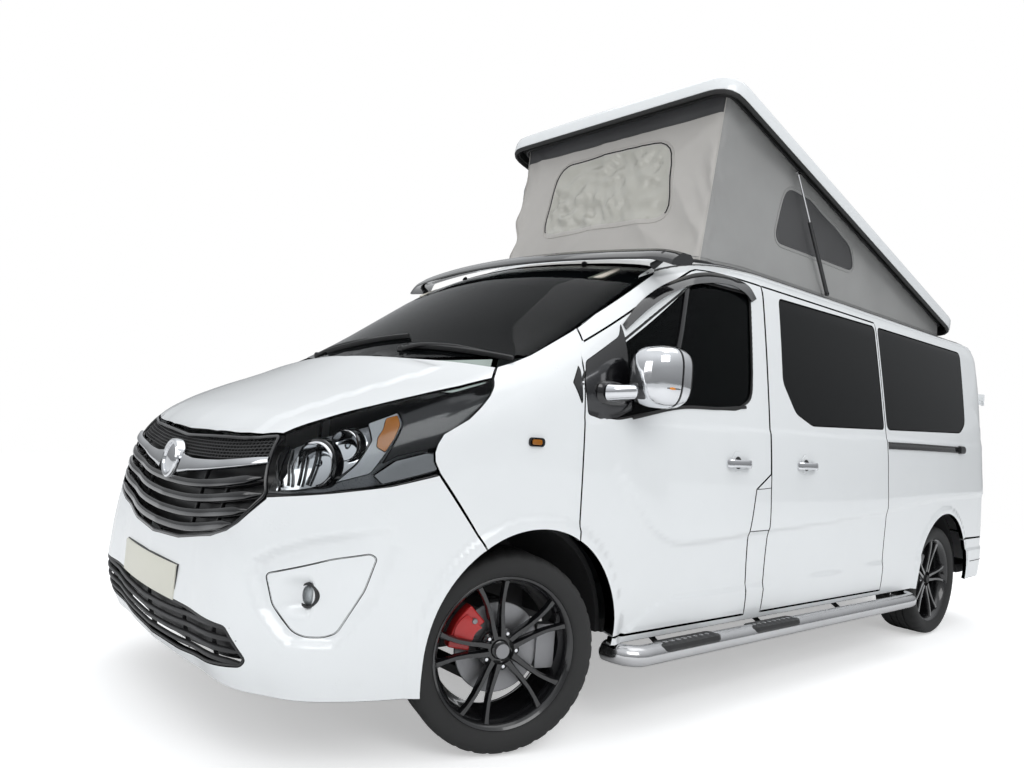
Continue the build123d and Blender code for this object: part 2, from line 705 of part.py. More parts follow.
half_tread = tyre_width / 2
stub_radius = 24
for axle, axle_x in (("front", front_axle_x), ("rear", rear_axle_x)):
    for name, sign in sides:
        plane = hub_plane(axle_x, sign, axle == "front")
        profile = [
            (rim_radius, -half_tread + 12),
            (rim_radius + 14, -half_tread + 2),
            (rim_radius + 50, -half_tread - 2, tyre_radius - 14, -half_tread + 14),
            (tyre_radius, -half_tread + 40),
            (tyre_radius, half_tread - 40),
            (tyre_radius - 14, half_tread - 14),
            (rim_radius + 50, half_tread + 2, rim_radius + 14, half_tread - 2),
            (rim_radius, half_tread - 12),
        ]
        turning = Plane(origin=plane.origin, x_dir=plane.x_dir, z_dir=-plane.y_dir)
        with BuildPart() as tyre:
            with BuildSketch(turning):
                make_face(outline(profile).edges())
            revolve(axis=Axis(plane.origin, plane.z_dir))
        save(tyre.part, "tyre_" + axle + "_" + name)
        barrel = ring(plane, -half_tread + 12, half_tread - 12, rim_radius, rim_radius - 16)
        face = ring(plane, half_tread - 52, half_tread - 30, rim_radius - 10, stub_radius + toe_clear)
        boss = ring(plane, 20, half_tread - 30, 75, stub_radius + toe_clear)
        cap = ring(plane, half_tread - 36, half_tread - 26, 40)
        with BuildPart() as spokes:
            with BuildSketch(plane.offset(half_tread - 60)):
                with PolarLocations(rim_radius * 0.58, 5):
                    with Locations((0, 0)):
                        RectangleRounded(rim_radius * 0.7, 66, 12)
            extrude(amount=40)
        windows = ring(plane, half_tread - 60, half_tread, rim_radius - 22, 84) - spokes.part
        disc = ring(plane, 8, 20, 160, stub_radius + toe_clear)
        wheel = barrel + (face - windows) + boss + cap + disc
        save(wheel, "wheel_" + axle + "_" + name)

# Front uprights with stub axle and calliper, rear axle with its stubs
for name, sign in sides:
    plane = hub_plane(front_axle_x, sign, True)
    stub = ring(plane, -60, half_tread - 40, stub_radius)
    upright = ring(plane, -60, -20, 70)
    with BuildPart() as calliper:
        with BuildSketch(plane.offset(-6)):
            with Locations((-178, 0)):
                Rectangle(70, 150)
        extrude(amount=40)
        with BuildSketch(plane.offset(-40)):
            with Locations((-120, 0)):
                Rectangle(190, 60)
        extrude(amount=34)
    knuckle = stub + upright + calliper.part - ring(plane, 4, 24, 164, stub_radius)
    pin = Plane.XY.offset(tyre_radius - 150)
    with BuildPart() as kingpin:
        with BuildSketch(pin):
            with Locations((front_axle_x, sign * kingpin_y)):
                Circle(14)
        extrude(amount=300)
    save(knuckle + kingpin.part, "knuckle_" + name)

# Suspension: front cross member with arms and strut towers, rear beam with trailing arms
cross_member = box(front_axle_x - 90, front_axle_x + 90, -420, 420, 215, floor_z - 65)
pieces = cross_member
for name, sign in sides:
    low = min(sign * 400, sign * (kingpin_y + 30)), max(sign * 400, sign * (kingpin_y + 30))
    arm = box(front_axle_x - 35, front_axle_x + 35, *low, tyre_radius - 150, tyre_radius - 120)
    arm = arm - ring(Plane(origin=(front_axle_x, sign * kingpin_y, 0)), 0, 800, 14 + toe_clear)
    tower_y = min(sign * 420, sign * (kingpin_y + 30)), max(sign * 420, sign * (kingpin_y + 30))
    tower = box(front_axle_x - 35, front_axle_x + 35, *tower_y, tyre_radius + 110, tyre_radius + 150)
    tower = tower - ring(Plane(origin=(front_axle_x, sign * kingpin_y, 0)), 0, 800, 14 + toe_clear)
    pieces = pieces + arm + tower
rear_plane = hub_plane(rear_axle_x, 1, False)
stubs = ring(rear_plane, -200, half_tread - 40, stub_radius)
trailing = box(rear_axle_x - 50, rear_axle_x + 620, rear_inner_y - 75, rear_inner_y - 8, floor_z - 70, floor_z - 6)
trailing = trailing + box(rear_axle_x + 540, rear_axle_x + 620, 420, rear_inner_y - 20, floor_z - 60, floor_z - 6)
pieces = pieces + stubs + flip(stubs) + trailing + flip(trailing)
save(pieces, "suspension")

# Engine with gearbox, fuel tank and exhaust hang from the rails
engine = box(front_axle_x + 95, front_axle_x + 560, -325, 325, floor_z + 10, 880)
engine = engine + box(front_axle_x + 95, front_axle_x + 520, -330, 330, floor_z - 40, floor_z + 10)
save(engine, "engine_block")
save(box(door_split_x - 700, door_split_x + 300, 178 - half_width, -425, 200, floor_z), "fuel_tank")
with BuildPart() as exhaust:
    with BuildSketch(Plane.YZ.offset(rear_axle_x + 250)):
        with Locations((-60, 245)):
            Ellipse(150, 70)
    extrude(amount=520)
    with BuildSketch(Plane.YZ.offset(rear_axle_x + 770)):
        with Locations((-60, 245)):
            Circle(28)
    extrude(amount=1800)
hanger = box(rear_axle_x + 480, rear_axle_x + 520, -80, -40, 250, floor_z)
save(exhaust.part + hanger, "exhaust")

# Outside fittings
mirror_x = door_front_x - 280
for name, sign in sides:
    with BuildPart() as mirror_case:
        with BuildSketch(Plane.XZ.offset(10 - half_width)):
            with Locations((mirror_x, 1305)):
                RectangleRounded(130, 228, 45)
        extrude(amount=-172)
    arm = box(mirror_x + 40, mirror_x + 182, half_width - 53, half_width + 7, 1205, 1262)
    case = (mirror_case.part + arm) - body_form(0)
    save(case if sign > 0 else flip(case), "mirror_" + name)
visor_y = half_width - 73
visor_rows = [
    (header_x - 62, -visor_y),
    (header_x + 60, 0, header_x - 62, visor_y),
    (header_x - 102, visor_y),
    (header_x + 20, 0, header_x - 102, -visor_y),
]
visor = plan_block(visor_rows, header_z - 55, header_z + 15) - body_form(-2)
visor_feet = box(header_x - 102, header_x - 66, visor_y - 205, visor_y - 25, header_z - 50, header_z - 10) - outer
save(visor + visor_feet + flip(visor_feet), "sun_visor")
bar_radius, bar_y, bar_z = 38, half_width + 34, 282
with BuildPart() as bar:
    with BuildSketch(Plane.YZ.offset(rear_axle_x + arch_radius + 160)):
        with Locations((bar_y, bar_z)):
            Circle(bar_radius)
            Circle(bar_radius - 4, mode=Mode.SUBTRACT)
    extrude(amount=wheelbase - 2 * arch_radius - 240)
bars = bar.part
for x in (rear_axle_x + 800, front_axle_x - 1400, front_axle_x - 700):
    bars = bars + box(x - 30, x + 30, half_width - 90, bar_y - bar_radius + 3, sill_z - 50, sill_z)
save(bars + flip(bars), "side_bars")

# Inside: dashboard, steering wheel, seats, bench and furniture
dash_rows = [
    (fire_x, 700),
    (fire_x, 1130),
    (fire_x + 90, 1165),
    (fire_x - 60, 1195),
    (fire_x - 300, 1140),
    (fire_x - 350, 1000),
    (fire_x - 260, 720),
]
dash = side_block(dash_rows, 128 - half_width, half_width - 128) & body_form(wall + 1)
dash = dash - door_cut - flip(door_cut) - front_well - flip(front_well) - wings
column = Plane(origin=(door_front_x - 590, -400, 1030), x_dir=(0, 1, 0), z_dir=(-0.64, 0, 0.768))
dash = dash + ring(column, -420, -60, 30)
dash = dash - ring(column, -420, 0, 12 + toe_clear) - bulkhead
save(dash, "dashboard")
with BuildPart() as steering:
    with BuildSketch(Plane(origin=column.origin + column.x_dir * 175, x_dir=column.x_dir, z_dir=column.y_dir)):
        Circle(15)
    revolve(axis=Axis(column.origin, column.z_dir))
    with BuildSketch(column.offset(-25)):
        Circle(60)
    extrude(amount=30)
    with BuildSketch(column.offset(-10)):
        Rectangle(345, 34)
    extrude(amount=12)
    with BuildSketch(column.offset(-150)):
        Circle(12)
    extrude(amount=130)
save(steering.part, "steering_wheel")
seat_rows = [
    (door_split_x + 10, floor_z + floor_thickness),
    (door_split_x + 470, floor_z + floor_thickness),
    (door_split_x + 520, 760),
    (door_split_x + 180, 730),
    (door_split_x - 10, 1440),
    (door_split_x - 110, 1430),
    (door_split_x + 20, 700),
]
seat = side_block(seat_rows, 170, 660)
save(seat + flip(seat), "front_seats")
bench_rows = [
    (rear_axle_x + 430, floor_z + floor_thickness),
    (rear_axle_x + 950, floor_z + floor_thickness),
    (rear_axle_x + 970, 800),
    (rear_axle_x + 560, 770),
    (rear_axle_x + 440, 1400),
    (rear_axle_x + 320, 1390),
    (rear_axle_x + 430, 740),
]
save(side_block(bench_rows, -330, half_width - 138), "rear_bench")
unit_rows = [
    (tail_x + 400, 138 - half_width),
    (door_split_x - 350, 138 - half_width),
    (door_split_x - 350, -440),
    (tail_x + 400, -440),
]
unit = plan_block(unit_rows, floor_z + floor_thickness, 1120)
save(unit - flip(well), "kitchen_unit")
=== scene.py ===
import bpy
import bmesh
import numpy as np
from math import atan2, cos, hypot, pi, radians, sin, sqrt, tan
from mathutils import Matrix, Vector, geometry


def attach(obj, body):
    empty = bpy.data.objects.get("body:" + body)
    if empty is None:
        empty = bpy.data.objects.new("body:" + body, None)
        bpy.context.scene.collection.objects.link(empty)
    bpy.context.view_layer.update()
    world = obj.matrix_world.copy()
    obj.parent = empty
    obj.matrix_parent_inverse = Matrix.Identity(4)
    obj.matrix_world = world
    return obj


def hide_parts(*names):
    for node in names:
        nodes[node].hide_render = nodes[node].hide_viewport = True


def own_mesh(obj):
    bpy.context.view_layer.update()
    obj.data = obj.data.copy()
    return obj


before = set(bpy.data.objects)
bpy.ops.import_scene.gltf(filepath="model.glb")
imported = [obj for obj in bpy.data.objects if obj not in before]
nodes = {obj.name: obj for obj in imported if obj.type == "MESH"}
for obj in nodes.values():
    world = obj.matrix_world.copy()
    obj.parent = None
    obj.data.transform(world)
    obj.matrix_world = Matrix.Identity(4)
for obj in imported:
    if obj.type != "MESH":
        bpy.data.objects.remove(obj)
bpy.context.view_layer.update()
MM = 0.001
UPRIGHT = (np.eye(3), np.zeros(3))
SIDES = ((1, "left"), (-1, "right"))

# Body surface, in millimetres


def curve(x, table):
    """Smooth curve through a short table of (place, value), straight beyond its ends."""
    xs, ys = np.array(table, float).T
    step = np.diff(xs)
    slope = np.diff(ys) / step
    tangent = np.empty_like(ys)
    tangent[0], tangent[-1] = slope[0], slope[-1]
    tangent[1:-1] = (slope[:-1] * step[1:] + slope[1:] * step[:-1]) / (step[:-1] + step[1:])
    held = np.clip(x, xs[0], xs[-1])
    i = np.clip(np.searchsorted(xs, held) - 1, 0, len(xs) - 2)
    t = (held - xs[i]) / step[i]
    low = ys[i] * (1 + 2 * t) * (1 - t) ** 2 + tangent[i] * step[i] * t * (1 - t) ** 2
    high = ys[i + 1] * t * t * (3 - 2 * t) + tangent[i + 1] * step[i] * t * t * (t - 1)
    return low + high + np.where(x < xs[0], tangent[0], tangent[-1]) * (x - held)


def ease(t):
    t = np.clip(t, 0, 1)
    return t * t * (3 - 2 * t)


def round_max(a, b, k):
    h = np.maximum(k - np.abs(a - b), 0)
    return np.maximum(a, b) + h * h / (4 * k)


FLANK = [(240, 930), (335, 952), (610, 969), (900, 978), (1120, 960), (1345, 928), (1570, 893), (1790, 855),
    (1905, 832)]
ROOF_DROP = [(0, 0), (390, 17), (600, 37), (775, 66), (850, 84)]
ROOF_LINE = [(-2640, 1760), (-2560, 1880), (-2469, 1947), (-2329, 1971), (-2200, 1971), (150, 1971),
    (300, 1970), (766, 1926), (1000, 1885), (1189, 1845)]
NOSE = [(0, 2699), (330, 2681), (660, 2620), (808, 2474), (880, 2295), (915, 2150), (955, 1870),
    (974, 1650), (990, 1300)]
NOSE_LEAN = [(240, -60), (330, -18), (420, 0), (520, -3), (994, -71), (1262, -110)]
TAIL = [(0, -2699), (380, -2690), (700, -2662), (830, -2600), (905, -2500), (945, -2350), (978, -1732),
    (1000, -1000)]
TAIL_LEAN = [(330, 20), (420, 0), (700, 0), (1050, 29), (1880, 139)]
ROCKER_TOP = [(-1290, 512), (-826, 507), (490, 474), (890, 475), (1080, 464), (1172, 444), (1260, 395),
    (1336, 337)]
SWAGE = [(-2500, 880), (-1359, 838), (-804, 787), (533, 711), (900, 690), (1047, 692), (1180, 745),
    (1300, 850), (1426, 998)]
FRONT_ARCH, REAR_ARCH = (1766, 350, 400), (-1732, 350, 400)
ARCHES = (FRONT_ARCH, REAR_ARCH)
HINGE_X, HINGE_Z = -2180, 1975
# height of the axis that the hoops go round, place of the upright axis for the ends, and their radii
HOOP_Z, HOOP_SIZE = 900, 950
WRAP_X, WRAP_SIZE = 1700, 900


POD_DISH = [(545, 596), (556, 640), (600, 676), (685, 716), (790, 742), (885, 760), (905, 700), (862, 540),
    (770, 405), (660, 408), (584, 496)]
POD_PANEL = [(587, 599), (741, 655), (832, 676), (847, 664), (825, 572), (768, 447), (740, 434), (700, 434),
    (672, 446), (615, 515)]


def both_halves(half):
    """Outline from the half on the left, which starts and ends on the centre line."""
    return half + [(-y, z) for y, z in half[-2:0:-1]]


def depth_in(u, v, loop):
    """Distance inside a closed outline, negative outside it."""
    near, odd = np.full(np.shape(u), 1e9), np.zeros(np.shape(u), int)
    for (ax, ay), (bx, by) in zip(loop, loop[1:] + loop[:1]):
        t = np.clip(((u - ax) * (bx - ax) + (v - ay) * (by - ay)) / ((bx - ax) ** 2 + (by - ay) ** 2), 0, 1)
        near = np.minimum(near, np.hypot(u - ax - t * (bx - ax), v - ay - t * (by - ay)))
        odd = odd + (((ay > v) != (by > v)) & (u < (bx - ax) * (v - ay) / (by - ay + 1e-9) + ax))
    return np.where(odd % 2 == 1, near, -near)


def pods(x, y, z):
    """Hollows round the fog lamps, as a depth."""
    u = np.arctan2(y, x - WRAP_X) * WRAP_SIZE
    dish = 25 * ease((depth_in(u, z, POD_DISH) + 4) / 34) * (1 - 0.7 * ease((u - 720) / 150))
    trough = np.exp(-(((z - 546) / 46) ** 4)) * ease((u - 606) / 88) * (1 - ease((u - 694) / 16))
    return np.where((x > 2200) & (z < 790), dish + 34 * trough * np.where(u < 720, 1, 0), 0)


def features(x, y, z):
    """Pressed lines in the panels, as a height above the plain form."""
    side = ease((y - 760) / 120)
    rocker = 7 * ease((curve(x, ROCKER_TOP) - z) / 16) * ease((1500 - x) / 100)
    line = curve(np.minimum(x, 1440), SWAGE)
    slope = (curve(np.minimum(x, 1440) + 1, SWAGE) - line)
    away = (z - line) / np.sqrt(1 + slope * slope)
    crease = 9 * np.where(away > 0, 1 - ease(away / 190), 1 - ease(-away / 26))
    crease = crease * ease((1470 - x) / 160) * ease((x + 2560) / 200)
    belt = -5 * ease((z - 1128 - 0.02 * (1000 - x)) / 22) * ease((1640 - x) / 120)
    lip = 0
    for ax, az, radius in ARCHES:
        r = np.hypot(x - ax, z - az)
        lip = lip + 9 * ease((radius + 52 - r) / 22)
    ridge_y = curve(x, [(1900, 640), (2250, 560), (2628, 452)])
    ridge = 8 * ease((ridge_y - y) / 34) * ease((x - 1950) / 60) * ease((z - 960) / 40)
    return side * (rocker + crease + belt + lip) + ridge - pods(x, y, z)


def skin(p):
    """Signed distance, near enough, from the finished body's outer surface."""
    x, y, z = p[..., 0], np.abs(p[..., 1]), p[..., 2]
    flank = (y - curve(z, FLANK)) * 0.985
    step = curve(y + 1, NOSE) - curve(y, NOSE)
    nose = (x - curve(y, NOSE) - curve(z, NOSE_LEAN)) / np.sqrt(1 + step * step)
    back = curve(y + 1, TAIL) - curve(y, TAIL)
    tail = (curve(y, TAIL) + curve(z, TAIL_LEAN) - x) / np.sqrt(1 + back * back)
    t = np.clip((2628 - x) / 588, -0.3, 1.3)
    bonnet = (z - 994 - (2628 - x) * 0.4558 - 44 * t * (1 - t) + 52 * (y / 800) ** 2) * 0.91
    screen = (z - 1262 - (2040 - x) * 0.679 + 127 * (y / 800) ** 2) * 0.827
    front = -round_max(-bonnet, -screen, 60)
    roof = z - curve(x, ROOF_LINE) + curve(y, ROOF_DROP)
    form = round_max(flank, nose, 30)
    form = round_max(form, front, 150)
    form = round_max(form, roof, 110)
    form = round_max(form, tail, 70)
    form = np.maximum(form, 240 - z)
    return form - features(x, y, z)


def shoot(start, way, reach):
    """Where rays from inside the body leave it."""
    low, high = np.zeros(len(start)), np.full(len(start), float(reach))
    for _ in range(26):
        middle = (low + high) / 2
        held = skin(start + way * middle[:, None]) < 0
        low, high = np.where(held, middle, low), np.where(held, high, middle)
    return start + way * ((low + high) / 2)[:, None]


def unit_rows(rows):
    return rows / np.linalg.norm(rows, axis=1, keepdims=True)


def outward(p):
    """Unit normals of the body's surface."""
    axes = np.eye(3) * 1.5
    n = np.stack([skin(p + a) - skin(p - a) for a in axes], -1)
    return unit_rows(n)


def to_hoop(p):
    return np.stack([p[:, 0], np.arctan2(p[:, 2] - HOOP_Z, p[:, 1]) * HOOP_SIZE], -1)


def from_hoop(q):
    q = np.asarray(q, float)
    a = q[:, 1] / HOOP_SIZE
    zero = np.zeros(len(q))
    return shoot(np.stack([q[:, 0], zero, zero + HOOP_Z], -1), np.stack([zero, np.cos(a), np.sin(a)], -1),
        1500)


def to_wrap(p):
    return np.stack([np.arctan2(p[:, 1], p[:, 0] - WRAP_X) * WRAP_SIZE, p[:, 2]], -1)


def from_wrap(q):
    q = np.asarray(q, float)
    a = q[:, 0] / WRAP_SIZE
    zero = np.zeros(len(q))
    return shoot(np.stack([zero + WRAP_X, zero, q[:, 1]], -1), np.stack([np.cos(a), np.sin(a), zero], -1),
        1500)


def to_deck(p):
    return p[:, :2].copy()


def from_deck(q):
    q = np.asarray(q, float)
    zero = np.zeros(len(q))
    return shoot(np.stack([q[:, 0], q[:, 1], zero + 700], -1), np.stack([zero, zero, zero + 1], -1), 1500)


def to_stern(p):
    return p[:, 1:].copy()


def from_stern(q):
    q = np.asarray(q, float)
    zero = np.zeros(len(q))
    return shoot(np.stack([zero - 1600, q[:, 0], q[:, 1]], -1), np.stack([zero - 1, zero, zero], -1), 1300)


def on_side(rows):
    """Points of the left flank from (x, z)."""
    q = np.array(rows, float)
    zero = np.zeros(len(q))
    return shoot(np.stack([q[:, 0], zero + 300, q[:, 1]], -1), np.stack([zero, zero + 1, zero], -1), 900)


def on_front(rows):
    """Points of the nose or screen from (y, z)."""
    q = np.array(rows, float)
    zero = np.zeros(len(q))
    return shoot(np.stack([zero + 300, q[:, 0], q[:, 1]], -1), np.stack([zero + 1, zero, zero], -1), 2700)


WAYS = {"hoop": (to_hoop, from_hoop), "wrap": (to_wrap, from_wrap), "deck": (to_deck, from_deck),
    "stern": (to_stern, from_stern)}


def rounded(rows, radius):
    """Closed outline with its corners rounded."""
    rows = [np.array(r[:2], float) for r in rows]
    out = []
    for i, corner in enumerate(rows):
        a, b = rows[i - 1] - corner, rows[(i + 1) % len(rows)] - corner
        r = min(radius, 0.45 * np.linalg.norm(a), 0.45 * np.linalg.norm(b))
        a, b = corner + a / np.linalg.norm(a) * r, corner + b / np.linalg.norm(b) * r
        for t in np.linspace(0, 1, 6):
            out.append((1 - t) ** 2 * a + 2 * t * (1 - t) * corner + t * t * b)
    return np.array(out)


def resampled(points, step):
    """Closed outline in steps of about one length, with its corners kept."""
    out = []
    for i in range(len(points)):
        a, b = points[i], points[(i + 1) % len(points)]
        count = max(1, int(round(np.linalg.norm(b - a) / step)))
        out += [a + (b - a) * k / count for k in range(count)]
    return np.array(out)


def inside(points, loop):
    """Which points lie in a closed outline."""
    x, y = points[:, 0][:, None], points[:, 1][:, None]
    ax, ay = loop[:, 0][None], loop[:, 1][None]
    bx, by = np.roll(loop[:, 0], -1)[None], np.roll(loop[:, 1], -1)[None]
    cross = ((ay > y) != (by > y)) & (x < (bx - ax) * (y - ay) / (by - ay + 1e-12) + ax)
    return cross.sum(1) % 2 == 1


def grown(loop, amount):
    """Closed outline moved outwards by an amount."""
    area = np.sum(loop[:, 0] * np.roll(loop[:, 1], -1) - np.roll(loop[:, 0], -1) * loop[:, 1])
    ahead = np.roll(loop, -1, 0) - np.roll(loop, 1, 0)
    ahead /= np.maximum(np.linalg.norm(ahead, axis=1, keepdims=True), 1e-9)
    side = np.stack([ahead[:, 1], -ahead[:, 0]], -1) * (1 if area > 0 else -1)
    return loop + side * amount


def new_object(name, data):
    piece = bpy.data.objects.new(name, data)
    bpy.context.scene.collection.objects.link(piece)
    return piece


def circle(count):
    """Angles of a full turn."""
    return np.linspace(0, 2 * pi, count, endpoint=False)


def mesh_object(name, points, faces, look, normals=None):
    """New object from points in millimetres."""
    mesh = bpy.data.meshes.new(name)
    mesh.from_pydata((np.asarray(points, float) * MM).tolist(), [], [tuple(map(int, f)) for f in faces])
    mesh.polygons.foreach_set("use_smooth", [True] * len(mesh.polygons))
    if normals is not None:
        mesh.normals_split_custom_set_from_vertices(np.asarray(normals).tolist())
    mesh.materials.append(LOOK[look])
    return new_object(name, mesh)


def plaque(half_long, half_high, radius):
    """Rounded rectangle about the origin."""
    return rounded(oblong(-half_long, -half_high, half_long, half_high), radius)


def oblong(x0, y0, x1, y1):
    return [(x0, y0), (x1, y0), (x1, y1), (x0, y1)]


def at_point(x, y, z):
    """Upright local frame at a point."""
    return np.eye(3), np.array([x, y, z], float)


def lengths(path):
    """Distance along a path up to each of its points."""
    return np.concatenate([[0], np.cumsum(np.linalg.norm(np.diff(path, axis=0), axis=1))])


def closed(loop):
    return np.concatenate([loop, loop[:1]])


def swell(wave, power):
    """A cosine or sine drawn towards a square."""
    return np.sign(wave) * np.abs(wave) ** power


def place(piece, body, replaces=()):
    """Gives a piece its body and hides the solids that it stands for."""
    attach(piece, body)
    for node in replaces:
        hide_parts(node)
    return piece


def panel(name, way, loops, look, step=(40, 14), thick=25, sink=0, edge=3, shrink=2.5, back=True):
    """Sheet on the body's surface: outer outline first, then its holes, with rolled edges."""
    to_flat, to_body = WAYS[way]
    flat = []
    for index, loop in enumerate(loops):
        q = resampled(to_flat(np.asarray(loop, float)), min(step) * 1.3)
        flat.append(grown(q, -shrink - edge if index == 0 else shrink + edge))
    # a grid inside the outline, clear of its border and of the holes
    low, high = flat[0].min(0), flat[0].max(0)
    grid = np.stack(np.meshgrid(np.arange(low[0] + step[0] / 2, high[0], step[0]),
            np.arange(low[1] + step[1] / 2, high[1], step[1])), -1).reshape(-1, 2)
    keep = inside(grid, flat[0])
    for hole in flat[1:]:
        keep &= ~inside(grid, hole)
    grid = grid[keep]
    border = np.concatenate(flat)
    near = np.full(len(grid), 1e9)
    for start in range(0, len(border), 200):
        gap = np.linalg.norm(grid[:, None] - border[None, start:start + 200], axis=2).min(1)
        near = np.minimum(near, gap)
    grid = grid[near > min(step) * 0.5]
    # border and grid joined into triangles
    points = np.concatenate([border, grid])
    edges, start = [], 0
    for q in flat:
        edges += [(start + i, start + (i + 1) % len(q)) for i in range(len(q))]
        start += len(q)
    result = geometry.delaunay_2d_cdt([Vector(p) for p in points], edges, [], 0, 0.001)
    verts, faces = np.array([v[:] for v in result[0]]), np.array([f[:] for f in result[2] if len(f) == 3])
    centre = verts[faces].mean(1)
    keep = inside(centre, flat[0])
    for hole in flat[1:]:
        keep &= ~inside(centre, hole)
    faces = faces[keep]
    origin = {}
    for new, old in enumerate(result[3]):
        for o in old:
            origin[o] = new
    # front sheet on the body, and a back sheet behind it
    body = to_body(verts)
    normal = outward(body)
    tri = body[faces]
    facing = np.einsum("ij,ij->i", np.cross(tri[:, 1] - tri[:, 0], tri[:, 2] - tri[:, 0]),
        normal[faces[:, 0]])
    faces[facing < 0] = faces[facing < 0][:, ::-1]
    body = body - normal * sink
    all_points, all_normals, all_faces = [body], [normal], [faces.tolist()]
    count = len(body)
    backs = body - normal * thick
    if back:
        all_points.append(backs)
        all_normals.append(-normal)
        all_faces.append((faces[:, ::-1] + count).tolist())
    # three rows of points round each border make its rolled edge
    total = count * (2 if back else 1)
    start = 0
    for index, q in enumerate(flat):
        ring = np.array([origin[start + i] for i in range(len(q))])
        sign = 1 if index == 0 else -1
        over = to_body(grown(q, sign * edge))
        start += len(q)
        n = normal[ring]
        way_out = over - (body[ring] + n * sink)
        way_out -= n * np.einsum("ij,ij->i", way_out, n)[:, None]
        way_out /= np.maximum(np.linalg.norm(way_out, axis=1, keepdims=True), 1e-9)
        mid = body[ring] + way_out * edge * 0.7 - n * edge * 0.3
        rim = body[ring] + way_out * edge - n * edge
        end = body[ring] + way_out * edge * (1 if not back else 0.5) - n * thick
        all_points += [mid, rim, end]
        diagonal = (n + way_out) / np.sqrt(2)
        all_normals += [diagonal, way_out, way_out]
        rows = [ring, total + np.arange(len(q)), total + len(q) + np.arange(len(q)),
            total + 2 * len(q) + np.arange(len(q))]
        if back:
            rows.append(ring + count)
        total += 3 * len(q)
        a, b = body[ring[1]] - body[ring[0]], way_out[0]
        flip = np.dot(np.cross(a, b), n[0]) > 0
        quads = []
        for one, two in zip(rows[:-1], rows[1:]):
            for i in range(len(q)):
                j = (i + 1) % len(q)
                quad = (one[i], one[j], two[j], two[i])
                quads.append(quad[::-1] if flip else quad)
        all_faces.append(quads)
    faces = [f for group in all_faces for f in group]
    return mesh_object(name, np.concatenate(all_points), faces, look, np.concatenate(all_normals))


def other_side(piece, name):
    """The same piece on the right."""
    mesh = piece.data.copy()
    count = len(mesh.vertices)
    co = np.empty(count * 3)
    mesh.vertices.foreach_get("co", co)
    loops = np.empty(len(mesh.loops) * 3)
    mesh.corner_normals.foreach_get("vector", loops)
    faces = [tuple(reversed(f.vertices[:])) for f in mesh.polygons]
    normals = np.zeros((count, 3))
    index = np.empty(len(mesh.loops), int)
    mesh.loops.foreach_get("vertex_index", index)
    normals[index] = loops.reshape(-1, 3)
    co = co.reshape(-1, 3) * (1, -1, 1)
    new = bpy.data.meshes.new(name)
    new.from_pydata(co.tolist(), [], faces)
    new.polygons.foreach_set("use_smooth", [True] * len(new.polygons))
    new.normals_split_custom_set_from_vertices((normals * (1, -1, 1)).tolist())
    for material in mesh.materials:
        new.materials.append(material)
    copy = new_object(name, new)
    return copy


# Materials


def node_group(name, inputs, outputs):
    """Shader node group with named inputs and outputs, and its input and output nodes."""
    group = bpy.data.node_groups.new(name, "ShaderNodeTree")
    for label, kind, value in inputs:
        socket = group.interface.new_socket(label, in_out="INPUT", socket_type=kind)
        if value is not None:
            socket.default_value = value
    for label, kind in outputs:
        group.interface.new_socket(label, in_out="OUTPUT", socket_type=kind)
    return group, group.nodes.new("NodeGroupInput"), group.nodes.new("NodeGroupOutput")


def add(tree, kind, settings=None, **inputs):
    """New node; inputs are constants or sockets to link."""
    node = tree.nodes.new(kind)
    for key, value in (settings or {}).items():
        setattr(node, key, value)
    for key, value in inputs.items():
        key = key.replace("_", " ")
        socket = node.inputs[int(key)] if key.isdigit() else node.inputs[key]
        if isinstance(value, bpy.types.NodeSocket):
            tree.links.new(value, socket)
        else:
            socket.default_value = value
    return node


def number(tree, operation, a, b=0.0, c=0.0):
    """Math node's result."""
    node = tree.nodes.new("ShaderNodeMath")
    node.operation = operation
    for i, value in enumerate((a, b, c)):
        if isinstance(value, bpy.types.NodeSocket):
            tree.links.new(value, node.inputs[i])
        else:
            node.inputs[i].default_value = value
    return node.outputs[0]


def grain_group():
    """Mottled mask, fine bump and droplets, sized in metres on the object."""
    group, gin, gout = node_group(
        "surface_grain",
        [("Scale", "NodeSocketFloat", 60.0), ("Bump", "NodeSocketFloat", 0.1),
            ("Drops", "NodeSocketFloat", 0.0)], [("Mask", "NodeSocketFloat"), ("Fine", "NodeSocketFloat"),
            ("Normal", "NodeSocketVector")])
    place_at = add(group, "ShaderNodeTexCoord").outputs["Object"]
    broad = add(group, "ShaderNodeTexNoise", Vector=place_at, Scale=2.3, Detail=4.0, Roughness=0.6)
    fine = add(group, "ShaderNodeTexNoise", Vector=place_at, Scale=gin.outputs["Scale"], Detail=3.0,
        Roughness=0.55)
    cells = add(group, "ShaderNodeTexVoronoi", {"feature": "F1"}, Vector=place_at, Scale=95.0,
        Randomness=1.0)
    spread = add(group, "ShaderNodeTexNoise", Vector=place_at, Scale=14.0, Detail=2.0)
    radius = number(group, "MULTIPLY", number(group, "SUBTRACT", spread.outputs[0], 0.36), 1.2)
    drop = number(group, "SUBTRACT", radius, cells.outputs["Distance"])
    drop = number(group, "MAXIMUM", drop, 0.0)
    height = number(group, "MULTIPLY", drop, gin.outputs["Drops"])
    height = number(group, "MULTIPLY_ADD", fine.outputs[0], gin.outputs["Bump"], height)
    bump = add(group, "ShaderNodeBump", Height=height, Strength=0.6, Distance=0.002)
    group.links.new(broad.outputs[0], gout.inputs["Mask"])
    group.links.new(fine.outputs[0], gout.inputs["Fine"])
    group.links.new(bump.outputs[0], gout.inputs["Normal"])
    return group


GRAIN = grain_group()


